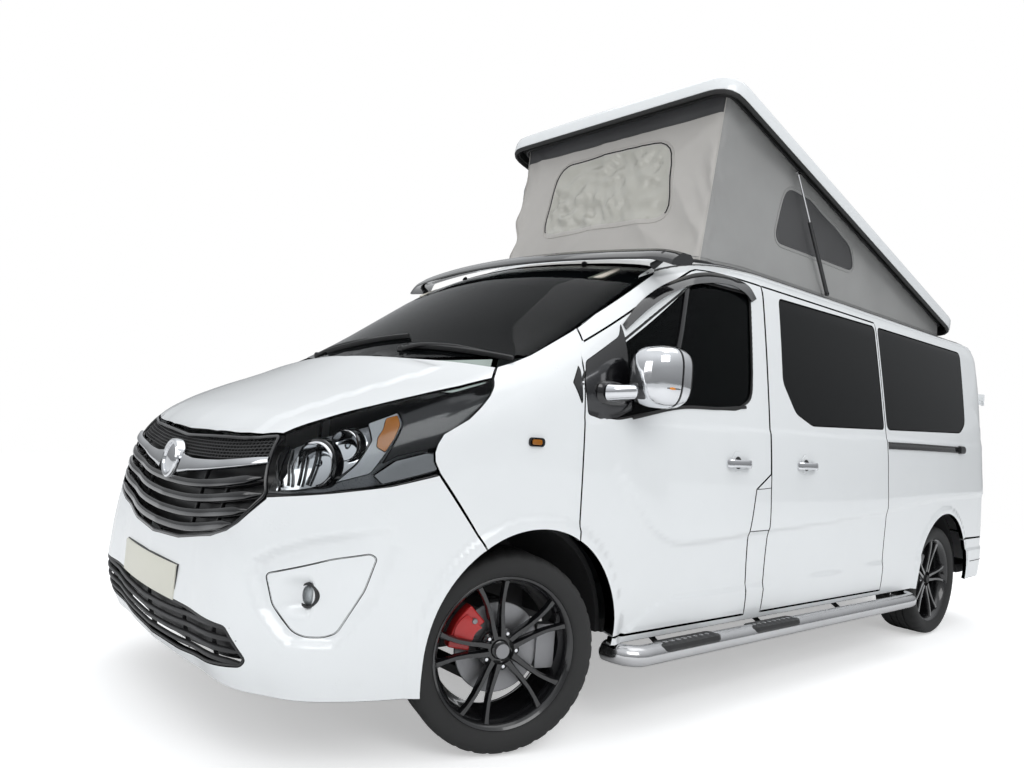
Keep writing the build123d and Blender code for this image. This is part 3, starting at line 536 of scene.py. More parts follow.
def grained(name, scale, bump, drops):
    """Empty material with the shared grain in it."""
    material = bpy.data.materials.new(name)
    material.use_nodes = True
    tree = material.node_tree
    tree.nodes.clear()
    grain = tree.nodes.new("ShaderNodeGroup")
    grain.node_tree = GRAIN
    for key, value in (("Scale", scale), ("Bump", bump), ("Drops", drops)):
        grain.inputs[key].default_value = value
    return material, tree, grain


def finish(name, color, rough=0.4, metal=0.0, scale=60.0, bump=0.1, drops=0.0, vary=0.06, coat=0.0,
    dust=0.04, specular=0.5):
    """Principled finish with mottled colour and roughness and a fine bump."""
    material, tree, grain = grained(name, scale, bump, drops)
    dark = tuple(c * (1 - vary) for c in color) + (1.0,)
    ramp = add(tree, "ShaderNodeMapRange", Value=grain.outputs["Mask"], From_Min=0.35, From_Max=0.65)
    mixed = add(tree, "ShaderNodeMix", {"data_type": "RGBA"})
    tree.links.new(ramp.outputs[0], mixed.inputs[0])
    mixed.inputs[6].default_value = dark
    mixed.inputs[7].default_value = tuple(color) + (1.0,)
    worn = number(tree, "MULTIPLY_ADD", grain.outputs["Fine"], dust * 2, rough - dust)
    shader = tree.nodes.new("ShaderNodeBsdfPrincipled")
    tree.links.new(mixed.outputs[2], shader.inputs["Base Color"])
    tree.links.new(worn, shader.inputs["Roughness"])
    tree.links.new(grain.outputs["Normal"], shader.inputs["Normal"])
    for key, value in (("Metallic", metal), ("Coat Weight", coat), ("Coat Roughness", 0.04),
        ("Specular IOR Level", specular)):
        shader.inputs[key].default_value = value
    out = tree.nodes.new("ShaderNodeOutputMaterial")
    tree.links.new(shader.outputs[0], out.inputs[0])
    return material


def tinted_glass(name, tint, clear, rough=0.02):
    """Thin pane: part clear with a tint, part mirror by angle."""
    material, tree, grain = grained(name, 30.0, 0.02, 0.0)
    shade = add(tree, "ShaderNodeMapRange", Value=grain.outputs["Mask"], From_Min=0.3, From_Max=0.7,
        To_Min=0.93, To_Max=1.0)
    tone = add(tree, "ShaderNodeMix", {"data_type": "RGBA", "blend_type": "MULTIPLY"})
    tone.inputs[0].default_value = 1.0
    tone.inputs[6].default_value = tuple(tint) + (1.0,)
    gray = add(tree, "ShaderNodeCombineColor", Red=shade.outputs[0], Green=shade.outputs[0],
        Blue=shade.outputs[0])
    tree.links.new(gray.outputs[0], tone.inputs[7])
    see = add(tree, "ShaderNodeBsdfTransparent")
    tree.links.new(tone.outputs[2], see.inputs["Color"])
    body = add(tree, "ShaderNodeBsdfPrincipled", Roughness=rough, Base_Color=(0.006, 0.007, 0.008, 1))
    tree.links.new(grain.outputs["Normal"], body.inputs["Normal"])
    weight = add(tree, "ShaderNodeFresnel", IOR=1.5)
    gain = number(tree, "MULTIPLY_ADD", weight.outputs[0], 1.0, 1 - clear)
    blend = add(tree, "ShaderNodeMixShader", {}, Fac=number(tree, "MINIMUM", gain, 1.0))
    tree.links.new(see.outputs[0], blend.inputs[1])
    tree.links.new(body.outputs[0], blend.inputs[2])
    out = tree.nodes.new("ShaderNodeOutputMaterial")
    tree.links.new(blend.outputs[0], out.inputs[0])
    return material


LOOK = {
    "paint": finish("paint_white", (0.83, 0.85, 0.86), 0.30, scale=420, bump=0.02, drops=0.9, vary=0.02,
        coat=1.0), "black": finish("plastic_black", (0.018, 0.018, 0.019), 0.5, scale=900, bump=0.3,
        vary=0.2), "gloss": finish("plastic_gloss", (0.006, 0.006, 0.007), 0.12, scale=200, bump=0.02,
        vary=0.2, coat=0.6), "seal": finish("seal_rubber", (0.012, 0.012, 0.012), 0.62, scale=600,
        bump=0.25, vary=0.2), "chrome": finish("chrome_trim", (0.78, 0.79, 0.81), 0.08, metal=1.0, scale=80,
        bump=0.01, vary=0.05, dust=0.02), "steel": finish("steel_bar", (0.62, 0.62, 0.63), 0.16, metal=1.0,
        scale=300, bump=0.05, vary=0.08, dust=0.05), "glass": tinted_glass("glass_clear",
        (0.80, 0.86, 0.84), 0.93), "dark": tinted_glass("glass_dark", (0.05, 0.055, 0.06), 0.62),
    "lens": tinted_glass("lamp_clear", (0.93, 0.95, 0.96), 0.96),
    "red": finish("lamp_red", (0.42, 0.008, 0.01), 0.12, scale=120, bump=0.05, vary=0.2, coat=0.8),
    "amber": finish("lamp_amber", (0.75, 0.25, 0.02), 0.25, scale=260, bump=0.2, vary=0.15, coat=0.4),
    "drl": finish("lamp_strip", (0.72, 0.75, 0.78), 0.3, scale=500, bump=0.2, vary=0.06, coat=0.4),
    "lamp_tub": finish("lamp_tub", (0.36, 0.37, 0.39), 0.28, metal=0.4, scale=300, bump=0.15, vary=0.1,
        coat=0.4), "rubber": finish("tyre_rubber", (0.022, 0.022, 0.022), 0.72, scale=500, bump=0.35,
        vary=0.25), "rim": finish("wheel_black", (0.008, 0.008, 0.009), 0.2, scale=260, bump=0.03, vary=0.2,
        coat=0.7), "chassis": finish("chassis_black", (0.02, 0.02, 0.021), 0.6, scale=120, bump=0.4,
        vary=0.3), "cast": finish("cast_grey", (0.33, 0.33, 0.34), 0.45, metal=0.8, scale=180, bump=0.25,
        vary=0.15), "calliper": finish("calliper_red", (0.5, 0.02, 0.02), 0.3, scale=160, bump=0.1,
        vary=0.12, coat=0.3), "trim": finish("trim_grey", (0.075, 0.075, 0.078), 0.6, scale=700, bump=0.35,
        vary=0.15), "cloth": finish("seat_cloth", (0.06, 0.062, 0.066), 0.85, scale=900, bump=0.9, vary=0.2),
    "wood": finish("furniture_grey", (0.36, 0.35, 0.33), 0.45, scale=40, bump=0.08, vary=0.12),
    # the two canvas finishes are one cloth: the darker grey is painted shade for the sides, the lighter tone
    # painted light for the front
    "canvas": finish("canvas_grey", (0.33, 0.33, 0.325), 0.85, scale=1100, bump=0.7, vary=0.07),
    "canvas_painted_light": finish("canvas_painted_light", (0.53, 0.51, 0.485), 0.85, scale=1100, bump=0.7, vary=0.06),
    "film": finish("window_film", (0.50, 0.49, 0.44), 0.2, scale=26, bump=0.6, vary=0.1, coat=0.6),
    "mesh": finish("vent_mesh", (0.07, 0.07, 0.072), 0.7, scale=1500, bump=0.9, vary=0.15),
    "strut": finish("gas_strut_black", (0.015, 0.015, 0.016), 0.3, scale=200, bump=0.05, vary=0.15,
        coat=0.3), "rod": finish("rod_steel", (0.66, 0.66, 0.67), 0.12, metal=1.0, scale=240, bump=0.03,
        vary=0.06), "plate": finish("plate_cream", (0.72, 0.71, 0.62), 0.4, scale=150, bump=0.05, vary=0.04),
    "cream": finish("visor_cream", (0.62, 0.58, 0.50), 0.7, scale=600, bump=0.4, vary=0.06),
    "grille": finish("grille_dark", (0.010, 0.010, 0.011), 0.35, scale=300, bump=0.1, vary=0.2),
    "stage": finish("stage_floor", (0.90, 0.90, 0.90), 0.85, scale=6, bump=0.03, vary=0.015, specular=0.2),
}


# Outlines, (x, z) on the side unless said


def arc(cx, cz, radius, start, end, count=24):
    """Points of a circle, angles in degrees."""
    a = np.radians(np.linspace(start, end, count))
    return [(cx + radius * cos(t), cz + radius * sin(t)) for t in a]


def through(a, mid, b, count=10):
    """Points of the arc from a through mid to b, without a."""
    (ax, ay), (bx, by), (cx, cy) = a, mid, b
    d = 2 * (ax * (by - cy) + bx * (cy - ay) + cx * (ay - by))
    ux = ((ax * ax + ay * ay) * (by - cy) + (bx * bx + by * by) * (cy - ay) + (cx * cx + cy * cy)
        * (ay - by)) / d
    uy = ((ax * ax + ay * ay) * (cx - bx) + (bx * bx + by * by) * (ax - cx) + (cx * cx + cy * cy)
        * (bx - ax)) / d
    radius = hypot(ax - ux, ay - uy)
    t0, t1, t2 = (atan2(q - uy, p - ux) for p, q in (a, mid, b))
    turn = (t2 - t0) % (2 * pi)
    if (t1 - t0) % (2 * pi) > turn:
        turn -= 2 * pi
    return [(ux + radius * cos(t0 + turn * k / count), uy + radius * sin(t0 + turn * k / count))
        for k in range(1, count + 1)]


DOOR = [(1586, 707)] + through((1586, 707), (1593, 1000), (1578, 1390)) + [
    (1180, 1626), (860, 1802), (820, 1816), (347, 1826), (372, 1160), (375, 960), (490, 893), (530, 711),
    (503, 350), (1366, 350)]
DOOR += arc(*FRONT_ARCH, 180, 118, 14)[1:-1]
SLIDER = [(370, 350), (370, 960), (368, 1160), (342, 1826), (-845, 1826), (-845, 350)]
DOOR_WINDOW = rounded([(1606, 1273), (862, 1760), (457, 1768), (488, 1380), (510, 1285), (620, 1232),
        (1015, 1216), (1427, 1137), (1545, 1160)], 40)
SLIDER_WINDOW = rounded([(203, 1787), (225, 1390), (125, 1250), (-25, 1200), (-823, 1228), (-823, 1800)], 28)
QUARTER_WINDOW = rounded([(-867, 1801), (-867, 1229), (-1962, 1268), (-2062, 1330), (-2117, 1806)], 40)
DOOR_FRONT = [(1586, 707)] + through((1586, 707), (1593, 1000), (1578, 1390))
LAMP_TOP = [(2524, 1000), (2440, 1050), (2302, 1111), (2180, 1156), (2055, 1197), (1934, 1236)]
LAMP_BACK = [(1954, 1208), (1981, 1176), (2020, 1136), (2063, 1097), (2110, 1068), (2148, 1044),
    (2168, 1012), (2176, 985), (2173, 957), (2155, 922)]
JOINT = np.concatenate([on_side([(1575, 1350), (1545, 1400)]), on_front([(820, 1462)])])
SIDE = np.concatenate([
        JOINT[::-1], on_side([(1578, 1390), (1180, 1626), (860, 1802), (820, 1816), (347, 1826),
        (372, 1160), (375, 960), (490, 893), (530, 711), (503, 350), (1366, 350), (1366, 318), (-1334, 318)]
        + arc(*REAR_ARCH, -3, 146, 40) + [(-2072, 585), (-2440, 585)]),
        from_stern([(830, z) for z in np.linspace(585, 870, 8)]), on_side([(-2439, 870), (-2439, 1330)]),
        from_stern(np.array([(830, z) for z in np.linspace(1330, 1740, 12)]
        + [(816, 1790), (800, 1842), (792, 1850)])), from_deck([(x, 775)
        for x in np.linspace(-2440, 1150, 30)]), on_front([(752, 1786), (788, 1752), (812, 1530)])])


def mirrored(piece, name, body, replaces=()):
    return place(other_side(piece, name), body, replaces)


def both(name, way, loops, look, body, slot, replaces=(), **settings):
    """A panel on the left and its mirror copy on the right; %s stands for the side."""
    left = panel(name % "left", way, loops, look, **settings)
    place(left, body.replace("%s", "left"), [n.replace("%s", "left") for n in replaces])
    right = mirrored(left, name % "right", body.replace("%s", "right"),
        [n.replace("%s", "right") for n in replaces if "%s" in n])
    return left, right


for side_name in ("left", "right"):
    holes = [on_side(QUARTER_WINDOW), on_side(SLIDER if side_name == "left" else SLIDER_WINDOW)]
    side_panel = panel("side_panel_" + side_name, "hoop", [SIDE] + holes, "paint", step=(30, 16), thick=22,
        shrink=1.4, edge=2.4)
    if side_name == "right":
        flipped = other_side(side_panel, "side_panel_far")
        bpy.data.objects.remove(side_panel)
        side_panel = flipped
    place(side_panel, "body", ["body_side_" + side_name])
place(panel("slider_panel", "hoop", [on_side(SLIDER), on_side(SLIDER_WINDOW)], "paint", step=(30, 16),
        thick=45, shrink=1.4, edge=2.4), "body", ["sliding_door"])
both("cab_door_skin_%s", "hoop", [on_side(DOOR), on_side(DOOR_WINDOW)], "paint", "cab_door_%s",
    "paint_white", ["cab_door_%s"], step=(30, 14), thick=45, shrink=1.6, edge=2.4)


def glazing(name, way, outline, body, slot, look, replaces=(), frit=22, sink=1.5, step=(40, 30)):
    """Pane with its printed black border."""
    pane = both(name + "_pane_%s", way, [outline], look, body, slot, replaces, step=step, thick=5,
        sink=sink, edge=1, shrink=1)
    to_flat, to_body = WAYS[way]
    q = resampled(to_flat(np.asarray(outline, float)), 12)
    both(name + "_border_%s", way, [outline, to_body(grown(q, -frit))], "gloss", body, "plastic_gloss", (),
        step=(40, 30), thick=3, sink=sink + 6, edge=0.5, shrink=0.5, back=False)
    return pane


glazing("cab_glass", "hoop", on_side(DOOR_WINDOW), "cab_door_%s", "glass_clear", "glass", ["cab_glass_%s"],
    frit=14, sink=9)
glazing("slider_glass", "hoop", on_side(SLIDER_WINDOW), "body", "glass_dark", "dark", ["side_windows"],
    frit=30)
glazing("quarter_glass", "hoop", on_side(QUARTER_WINDOW), "body", "glass_dark", "dark", frit=30)

lip_line = [(572, 1000), (430, 984), (209, 970), (0, 966)]
bonnet_side = on_side(LAMP_TOP)
half_bonnet = np.concatenate([bonnet_side, from_deck([(1874, 792), (1905, 640), (1950, 420), (1990, 210)])])
mirror_y = np.array((1, -1, 1))
BONNET = np.concatenate([half_bonnet, from_deck([(2004, 0)]), (half_bonnet * mirror_y)[::-1],
        on_front([(-y, z) for y, z in lip_line] + [(209, 970), (430, 984)])])
place(panel("bonnet_skin", "deck", [BONNET], "paint", step=(26, 26), thick=10), "bonnet",
    ["bonnet"])
SCREEN = on_front(both_halves([(0, 1294), (300, 1300), (560, 1312), (700, 1322), (822, 1334), (812, 1480),
        (788, 1752), (752, 1786), (400, 1815), (0, 1828)]))
WAYS["screen"] = (to_stern, on_front)
place(panel("screen_pane", "screen", [SCREEN], "glass", step=(40, 30), thick=6, sink=2, edge=1, shrink=2),
    "body", ["windscreen"])
q = resampled(to_stern(SCREEN), 12)
place(panel("screen_border", "screen", [SCREEN, on_front(grown(q, -34))], "gloss", step=(40, 30), thick=4,
        sink=9, edge=0.5, shrink=1, back=False), "body")

WING = np.concatenate([on_side(DOOR_FRONT[::-1][1:] + arc(*FRONT_ARCH, 113.5, 58, 20) + LAMP_BACK[::-1]
        + [(1934, 1236)]), from_deck([(1874, 792)]), on_front([(810, 1300), (822, 1334), (822, 1400)]),
        JOINT[::-1]])
both("wing_skin_%s", "hoop", [WING], "paint", "body", "paint_white", ["front_wings"], step=(24, 14),
    thick=20, shrink=1, edge=2)

GRILLE = rounded(both_halves([(0, 960), (200, 970), (430, 980), (574, 1000), (604, 936), (646, 825),
        (575, 735), (531, 706), (440, 676), (220, 635), (0, 622)]), 18)
INTAKE = rounded(both_halves([(0, 445), (300, 443), (600, 438), (660, 352), (640, 328), (470, 300),
        (240, 279), (0, 272)]), 14)
bumper_left = on_side([(2155, 918)] + arc(*FRONT_ARCH, 58, 0, 16) + [(2165, 300), (2160, 246)])
BUMPER_SIDE = on_side([(2587, 820), (2461, 848), (2300, 878)])
bottom = from_wrap([(radians(a) * WRAP_SIZE, 246) for a in np.linspace(57, -57, 60)])
BUMPER = np.concatenate([on_front([(646, 814)]), BUMPER_SIDE, bumper_left, bottom,
        (bumper_left * mirror_y)[::-1], (BUMPER_SIDE * mirror_y)[::-1],
        on_front([(-646, 814), (-575, 735), (-531, 706), (-440, 676), (-220, 635), (0, 622), (220, 635),
        (440, 676), (531, 706), (575, 735)])])
POD = from_wrap(rounded(POD_PANEL, 14))
place(panel("bumper_skin", "wrap", [BUMPER, on_front(INTAKE), POD, POD[::-1] * mirror_y], "paint",
        step=(16, 12), thick=20, shrink=1, edge=2), "body", ["front_bumper"])
both("pod_panel_%s", "wrap", [POD], "paint", "body", "paint_white", step=(7, 7), thick=8, edge=1.2,
    shrink=0.3)


# Simple solids, in millimetres


def loft(name, loops, look, round_off=True, caps=True, ring=False):
    """Skin through outlines of equal counts; round_off shuts each, ring joins the last to the first."""
    loops = [np.asarray(l, float) for l in loops]
    count, points, faces = len(loops[0]), np.concatenate(loops), []
    layers = len(loops)
    for k in range(layers if ring else layers - 1):
        a, b = k * count, (k + 1) % layers * count
        for i in range(count if round_off else count - 1):
            j = (i + 1) % count
            faces.append((a + i, a + j, b + j, b + i))
    if caps and not ring:
        faces.append(tuple(range(count))[::-1])
        faces.append(tuple(range((layers - 1) * count, layers * count)))
    piece = mesh_object(name, points, faces, look)
    mend(piece)
    return piece


def mend(piece, angle=35):
    """Points the faces outwards and keeps sharp edges sharp."""
    work = bmesh.new()
    work.from_mesh(piece.data)
    bmesh.ops.recalc_face_normals(work, faces=work.faces)
    limit = radians(angle)
    for edge in work.edges:
        edge.smooth = len(edge.link_faces) == 2 and edge.calc_face_angle(0) < limit
    work.to_mesh(piece.data)
    work.free()


def bevel(piece, width, segments=3, angle=30):
    """Rounds a piece's sharp edges, in millimetres."""
    work = bmesh.new()
    work.from_mesh(piece.data)
    bmesh.ops.recalc_face_normals(work, faces=work.faces)
    sharp = [e for e in work.edges if len(e.link_faces) == 2 and e.calc_face_angle(0) > radians(angle)]
    bmesh.ops.bevel(work, geom=sharp, offset=width * MM, segments=segments, profile=0.6, affect="EDGES",
        clamp_overlap=True)
    work.to_mesh(piece.data)
    work.free()
    mend(piece, 38)
    return piece


def frame_at(origin, x_dir, z_dir):
    """Rotation whose columns are a local frame, and its origin."""
    z = np.array(z_dir, float) / np.linalg.norm(z_dir)
    x = np.array(x_dir, float) - z * np.dot(x_dir, z)
    x /= np.linalg.norm(x)
    return np.stack([x, np.cross(z, x), z], 1), np.array(origin, float)


def put(points, at):
    return np.asarray(points, float) @ at[0].T + at[1]


def prism(name, rows, low, high, at, look, round_by=2, segments=2):
    """Outline drawn out between two heights in a local frame, with rounded edges."""
    q = np.asarray(rows, float)
    loops = [put(np.column_stack([q, np.full(len(q), h)]), at) for h in (low, high)]
    piece = loft(name, loops, look)
    return bevel(piece, round_by, segments) if round_by else piece


def lathe(name, profile, at, look, segments=64):
    """Turned form about the local Z axis from (radius, height) rows."""
    radius, height = np.asarray(profile, float).T
    loops = []
    for k in range(segments):
        a = 2 * pi * k / segments
        loops.append(put(np.column_stack([radius * cos(a), radius * sin(a), height]), at))
    return loft(name, loops, look, round_off=False, ring=True)


def tube(name, path, radius, look, sides=16, ends=True):
    """Round bar along a path; radius is one number or one for each point."""
    path = np.asarray(path, float)
    radius = np.broadcast_to(np.asarray(radius, float), len(path))
    ahead = unit_rows(np.gradient(path, axis=0))
    side = np.cross(ahead[0], (0, 0, 1) if abs(ahead[0][2]) < 0.9 else (1, 0, 0))
    loops = []
    a = circle(sides)
    for p, t, r in zip(path, ahead, radius):
        side = side - t * np.dot(side, t)
        side /= np.linalg.norm(side)
        up = np.cross(t, side)
        loops.append(p + r * (np.cos(a)[:, None] * side + np.sin(a)[:, None] * up))
    if ends:
        first, last = path[0] - ahead[0] * radius[0] * 0.25, path[-1] + ahead[-1] * radius[-1] * 0.25
        loops = [first + (loops[0] - path[0]) * 0.75] + loops + [last + (loops[-1] - path[-1]) * 0.75]
    return loft(name, loops, look, caps=ends)


def spline(points, count=40):
    """Smooth path through a few points."""
    points = np.asarray(points, float)
    t = lengths(points)
    at = np.linspace(0, t[-1], count)
    return np.stack([curve(at, np.column_stack([t, points[:, i]])) for i in range(points.shape[1])], -1)


def strip(name, path, width, depth, look, up=None, taper=0, sink=0):
    """Flat bar along a path on the body's surface: width across it, depth out of it."""
    path = np.asarray(path, float)
    normal = outward(path) if up is None else np.broadcast_to(np.asarray(up, float), path.shape)
    ahead = unit_rows(np.gradient(path, axis=0))
    side = unit_rows(np.cross(normal, ahead))
    width = np.broadcast_to(np.asarray(width, float), len(path))
    t = np.linspace(0, 1, len(path))
    if taper:
        width = width * np.minimum(1, np.minimum(t, 1 - t) / taper + 0.15)
    depth = np.broadcast_to(np.asarray(depth, float), len(path))
    loops = []
    for p, n, s, w, d in zip(path, normal, side, width, depth):
        r = min(w / 2, d) * 0.45
        section = [(-w / 2, -2), (-w / 2, d - r), (-w / 2 + r * 0.3, d - r * 0.3), (-w / 2 + r, d),
            (w / 2 - r, d), (w / 2 - r * 0.3, d - r * 0.3), (w / 2, d - r), (w / 2, -2)]
        loops.append([p + s * a + n * (b - sink) for a, b in section])
    return loft(name, loops, look)


def join(name, parts):
    """One object from several that share their materials."""
    mesh, slots = bpy.data.meshes.new(name), []
    work = bmesh.new()
    for part in parts:
        for material in part.data.materials:
            if material not in slots:
                slots.append(material)
        start = len(work.faces)
        work.from_mesh(part.data)
        work.faces.ensure_lookup_table()
        table = [slots.index(m) for m in part.data.materials]
        for face in work.faces[start:]:
            face.material_index = table[face.material_index] if table else 0
    work.to_mesh(mesh)
    work.free()
    for material in slots:
        mesh.materials.append(material)
    for part in parts:
        bpy.data.objects.remove(part)
    return new_object(name, mesh)


def mirror_piece(piece, name):
    """Mirror copy on the right of a piece with plain normals."""
    mesh = piece.data.copy()
    mesh.name = name
    work = bmesh.new()
    work.from_mesh(mesh)
    for vert in work.verts:
        vert.co.y = -vert.co.y
    bmesh.ops.reverse_faces(work, faces=work.faces)
    work.to_mesh(mesh)
    work.free()
    return new_object(name, mesh)


def pair(piece, name, body, replaces=()):
    """Left piece and its mirror copy, each on its own body; %s stands for the side."""
    place(piece, body.replace("%s", "left"), [n.replace("%s", "left") for n in replaces])
    far = place(mirror_piece(piece, name % "right"), body.replace("%s", "right"),
        [n.replace("%s", "right") for n in replaces if "%s" in n])
    return piece, far


# Front


def front_path(rows, count=60):
    """Points of the nose along a path of (y, z)."""
    return on_front(spline(rows, count))


def behind(points, amount):
    return points - outward(points) * amount


# upper grille: dark back, mesh strip, bars that follow the mouth, and a bright bar with a plain boss
place(panel("grille_back", "wrap", [on_front(grown(GRILLE, 6))], "grille", step=(30, 20), thick=4, sink=52,
        edge=1, shrink=0, back=False), "body", ["grilles"])
bars = []
half_bar = {0: [(612, 872), (430, 838), (220, 812), (0, 806)], 1: [(632, 826), (430, 790), (220, 764),
        (0, 757)], 2: [(600, 775), (420, 742), (220, 716), (0, 709)],
    3: [(548, 728), (400, 698), (220, 670), (0, 662)]}
for index, rows in half_bar.items():
    full = rows + [(-y, z) for y, z in rows[:-1][::-1]]
    bars.append(strip("bar", behind(front_path(full, 64), 2), 26, 9, "gloss", taper=0.06, sink=6))
    bars.append(strip("bar", behind(front_path([(y, z - 7) for y, z in full], 64), 20), 12, 22, "grille",
            taper=0.05, sink=18))
for y in (-420, -250, 250, 420):
    rows = [(y, 880 - abs(y) * 0.05), (y * 0.97, 680 + abs(y) * 0.03)]
    bars.append(strip("bar", behind(front_path(rows, 10), 30), 10, 10, "grille"))
place(join("grille_bars", bars), "body")
ring_loop = resampled(GRILLE, 14)
rim_path = closed(on_front(grown(ring_loop, -3)))
place(strip("grille_rim", behind(rim_path, 1), 11, 4, "gloss", sink=3), "body")
mesh_rows = []
for level in range(7):
    z = 899 + level * 10.5
    reach = 586 - 3 * level
    mesh_rows.append(strip("mesh", behind(front_path([(reach, z + 34), (400, z + 14), (200, z + 3), (0, z),
            (-200, z + 3), (-400, z + 14), (-reach, z + 34)], 48), 14), 4.0, 5, "black"))
for k in range(-29, 30):
    y = k * 20
    low = 897 + 34 * (abs(y) / 586) ** 2
    mesh_rows.append(strip("mesh", behind(front_path([(y, low), (y, low + 66)], 5), 14), 3.4, 5, "black"))
place(join("grille_mesh", mesh_rows), "body")
bright = front_path([(610, 921), (480, 900), (330, 880), (180, 866), (90, 862)], 40)
widths = np.interp(np.linspace(0, 1, 40), [0, 0.08, 0.5, 0.85, 1], [22, 26, 32, 46, 66])
wing_bar = strip("bright_bar", behind(bright, 2), widths, 12, "chrome")
other_bar = mirror_piece(wing_bar, "bright_bar_far")
boss_at = frame_at(on_front([(0, 872)])[0] + np.array([2, 0, 0]), (0, 1, 0), (1, 0, 0.12))
boss = lathe("boss", [(0, 13), (30, 12.5), (46, 9), (52, 8), (54, 14), (62, 16), (68, 12), (70, 2),
        (70, -14)], boss_at, "chrome", 56)
place(join("bright_bar", [wing_bar, other_bar, boss]), "body")

# lower intake
place(panel("intake_back", "wrap", [on_front(grown(INTAKE, 5))], "grille", step=(30, 20), thick=4, sink=46,
        edge=1, shrink=0, back=False), "body")
slats = []
for k in range(4):
    z0 = 306 + k * 33
    reach = (640, 652, 640, 618)[k]
    rows = [(reach, z0 + 32), (400, z0 + 18), (200, z0 + 5), (0, z0), (-200, z0 + 5), (-400, z0 + 18),
        (-reach, z0 + 32)]
    slats.append(strip("slat", behind(front_path(rows, 56), 8), 15, 8, "black", taper=0.03))
for y in (-520, -300, 0, 300, 520):
    slats.append(strip("slat", behind(front_path([(y, 290), (y, 436)], 8), 24), 9, 9, "grille"))
place(join("intake_slats", slats), "body")
rim_path = closed(on_front(grown(resampled(INTAKE, 14), -3)))
place(strip("intake_rim", behind(rim_path, 1), 9, 3, "black", sink=3), "body")

# blank plate on its carrier
plate_mid = on_front([(0, 497)])[0]


def plate_points(rows, out):
    q = np.asarray(rows, float)
    return np.column_stack([np.full(len(q), plate_mid[0] + out) - 26 * (q[:, 0] / 262) ** 2 * 0.5, q])


place(strip("plate_blank", plate_points([(y, 497) for y in np.linspace(-262, 262, 25)], 3), 111, 4, "plate",
        up=(1, 0, 0)), "body")
place(strip("plate_carrier", plate_points([(y, 497) for y in np.linspace(-266, 266, 25)], -14), 118, 17,
        "black", up=(1, 0, 0)), "body")

# headlamps: clear cover over a dark bowl, reflectors, light strip with amber end, band and bright wedge
COVER = rounded([(2524, 1000)] + LAMP_TOP[1:] + LAMP_BACK + [(2300, 880), (2461, 850), (2570, 830),
        (2590, 830)], 8)
STRIP = rounded([(2259, 1104), (2264, 1062), (2287, 1020), (2358, 910), (2432, 884), (2452, 877),
        (2396, 936), (2350, 1014), (2350, 1062)], 10)
AMBER = rounded([(2262, 1096), (2266, 1062), (2287, 1022), (2318, 974), (2345, 990), (2338, 1020),
        (2318, 1048), (2300, 1082)], 8)
BAND = rounded([(2258, 1118), (2056, 1190), (1942, 1230), (1958, 1205), (1984, 1172), (2066, 1092),
        (2150, 1040), (2168, 1002), (2200, 992), (2287, 967), (2330, 940), (2288, 1014), (2262, 1062)], 8)
WEDGE = rounded([(2352, 906), (2290, 955), (2196, 984), (2156, 980), (2160, 930), (2325, 880)], 8)
BOWL = rounded([(2515, 985), (2362, 1052), (2356, 1016), (2400, 938), (2456, 884), (2588, 840)], 12)
lamp_sheets = []
for name, outline, look, slot, step, thick, sink, edge, shrink in (
    ("lamp_bowl", BOWL, "chrome", "chrome_trim", (20, 14), 3, 44, 1, 0),
    ("lamp_strip", STRIP, "drl", "lamp_clear", (14, 10), 22, 9, 2.5, 0),
    ("lamp_amber", AMBER, "amber", "lamp_clear", (10, 8), 6, 6, 2, 2),
    ("lamp_wedge", WEDGE, "chrome", "chrome_trim", (16, 10), 14, 8, 3, 0),
    ("lamp_band", BAND, "gloss", "plastic_gloss", (24, 12), 12, 4, 2, 0),
    ("lamp_back", COVER, "lamp_tub", "plastic_black", (40, 24), 3, 60, 1, 2),
    ("lamp_lens", COVER, "lens", "lamp_clear", (24, 14), 5, 1, 1.5, 1.5)):
    lamp_sheets.append((panel(name, "hoop", [on_side(outline)], look, step=step, thick=thick, sink=sink,
            edge=edge, shrink=shrink, back=False), slot))
for piece, slot in lamp_sheets:
    place(piece, "body", ["headlamps"] if piece.name == "lamp_lens" else [])
    mirrored(piece, piece.name + "_right", "body")
lamp_turned = []
for centre, radius, aim in (((2462, 705, 925), 62, (1, 0.42, -0.02)),
    ((2392, 742, 985), 44, (1, 0.55, 0.0))):
    at = frame_at(centre, (0, 0, 1), aim)
    bowl = [(radius * 0.18, -34), (radius * 0.42, -30), (radius * 0.7, -18), (radius * 0.9, 0),
        (radius, 16), (radius * 1.06, 17), (radius * 1.1, 12), (radius * 1.1, -20)]
    lamp_turned.append(lathe("reflector", bowl, at, "chrome", 48))
    lamp_turned.append(lathe("bulb", [(0.01, 6), (radius * 0.13, 5), (radius * 0.19, -2),
            (radius * 0.2, -30)], at, "lens", 24))
    lamp_turned.append(lathe("collar", [(radius * 1.1, 12), (radius * 1.2, 8), (radius * 1.28, -18),
            (radius * 1.1, -24)], at, "gloss", 48))
for k in range(4):
    rows = [(2478 + k * 24, 1000 - k * 12), (2500 + k * 22, 930), (2520 + k * 18, 868 - k * 4)]
    lamp_turned.append(strip("rib", behind(on_side(spline(rows, 12)), 34), 7, 7, "gloss"))
pair(join("lamp_inside_left", lamp_turned), "lamp_inside_%s", "body")
edge_line = on_side(spline([(2590, 830), (2461, 844), (2325, 866), (2160, 912)], 30))
pair(strip("lamp_edge_left", behind(edge_line, 9), 14, 3, "gloss"), "lamp_edge_%s", "body")

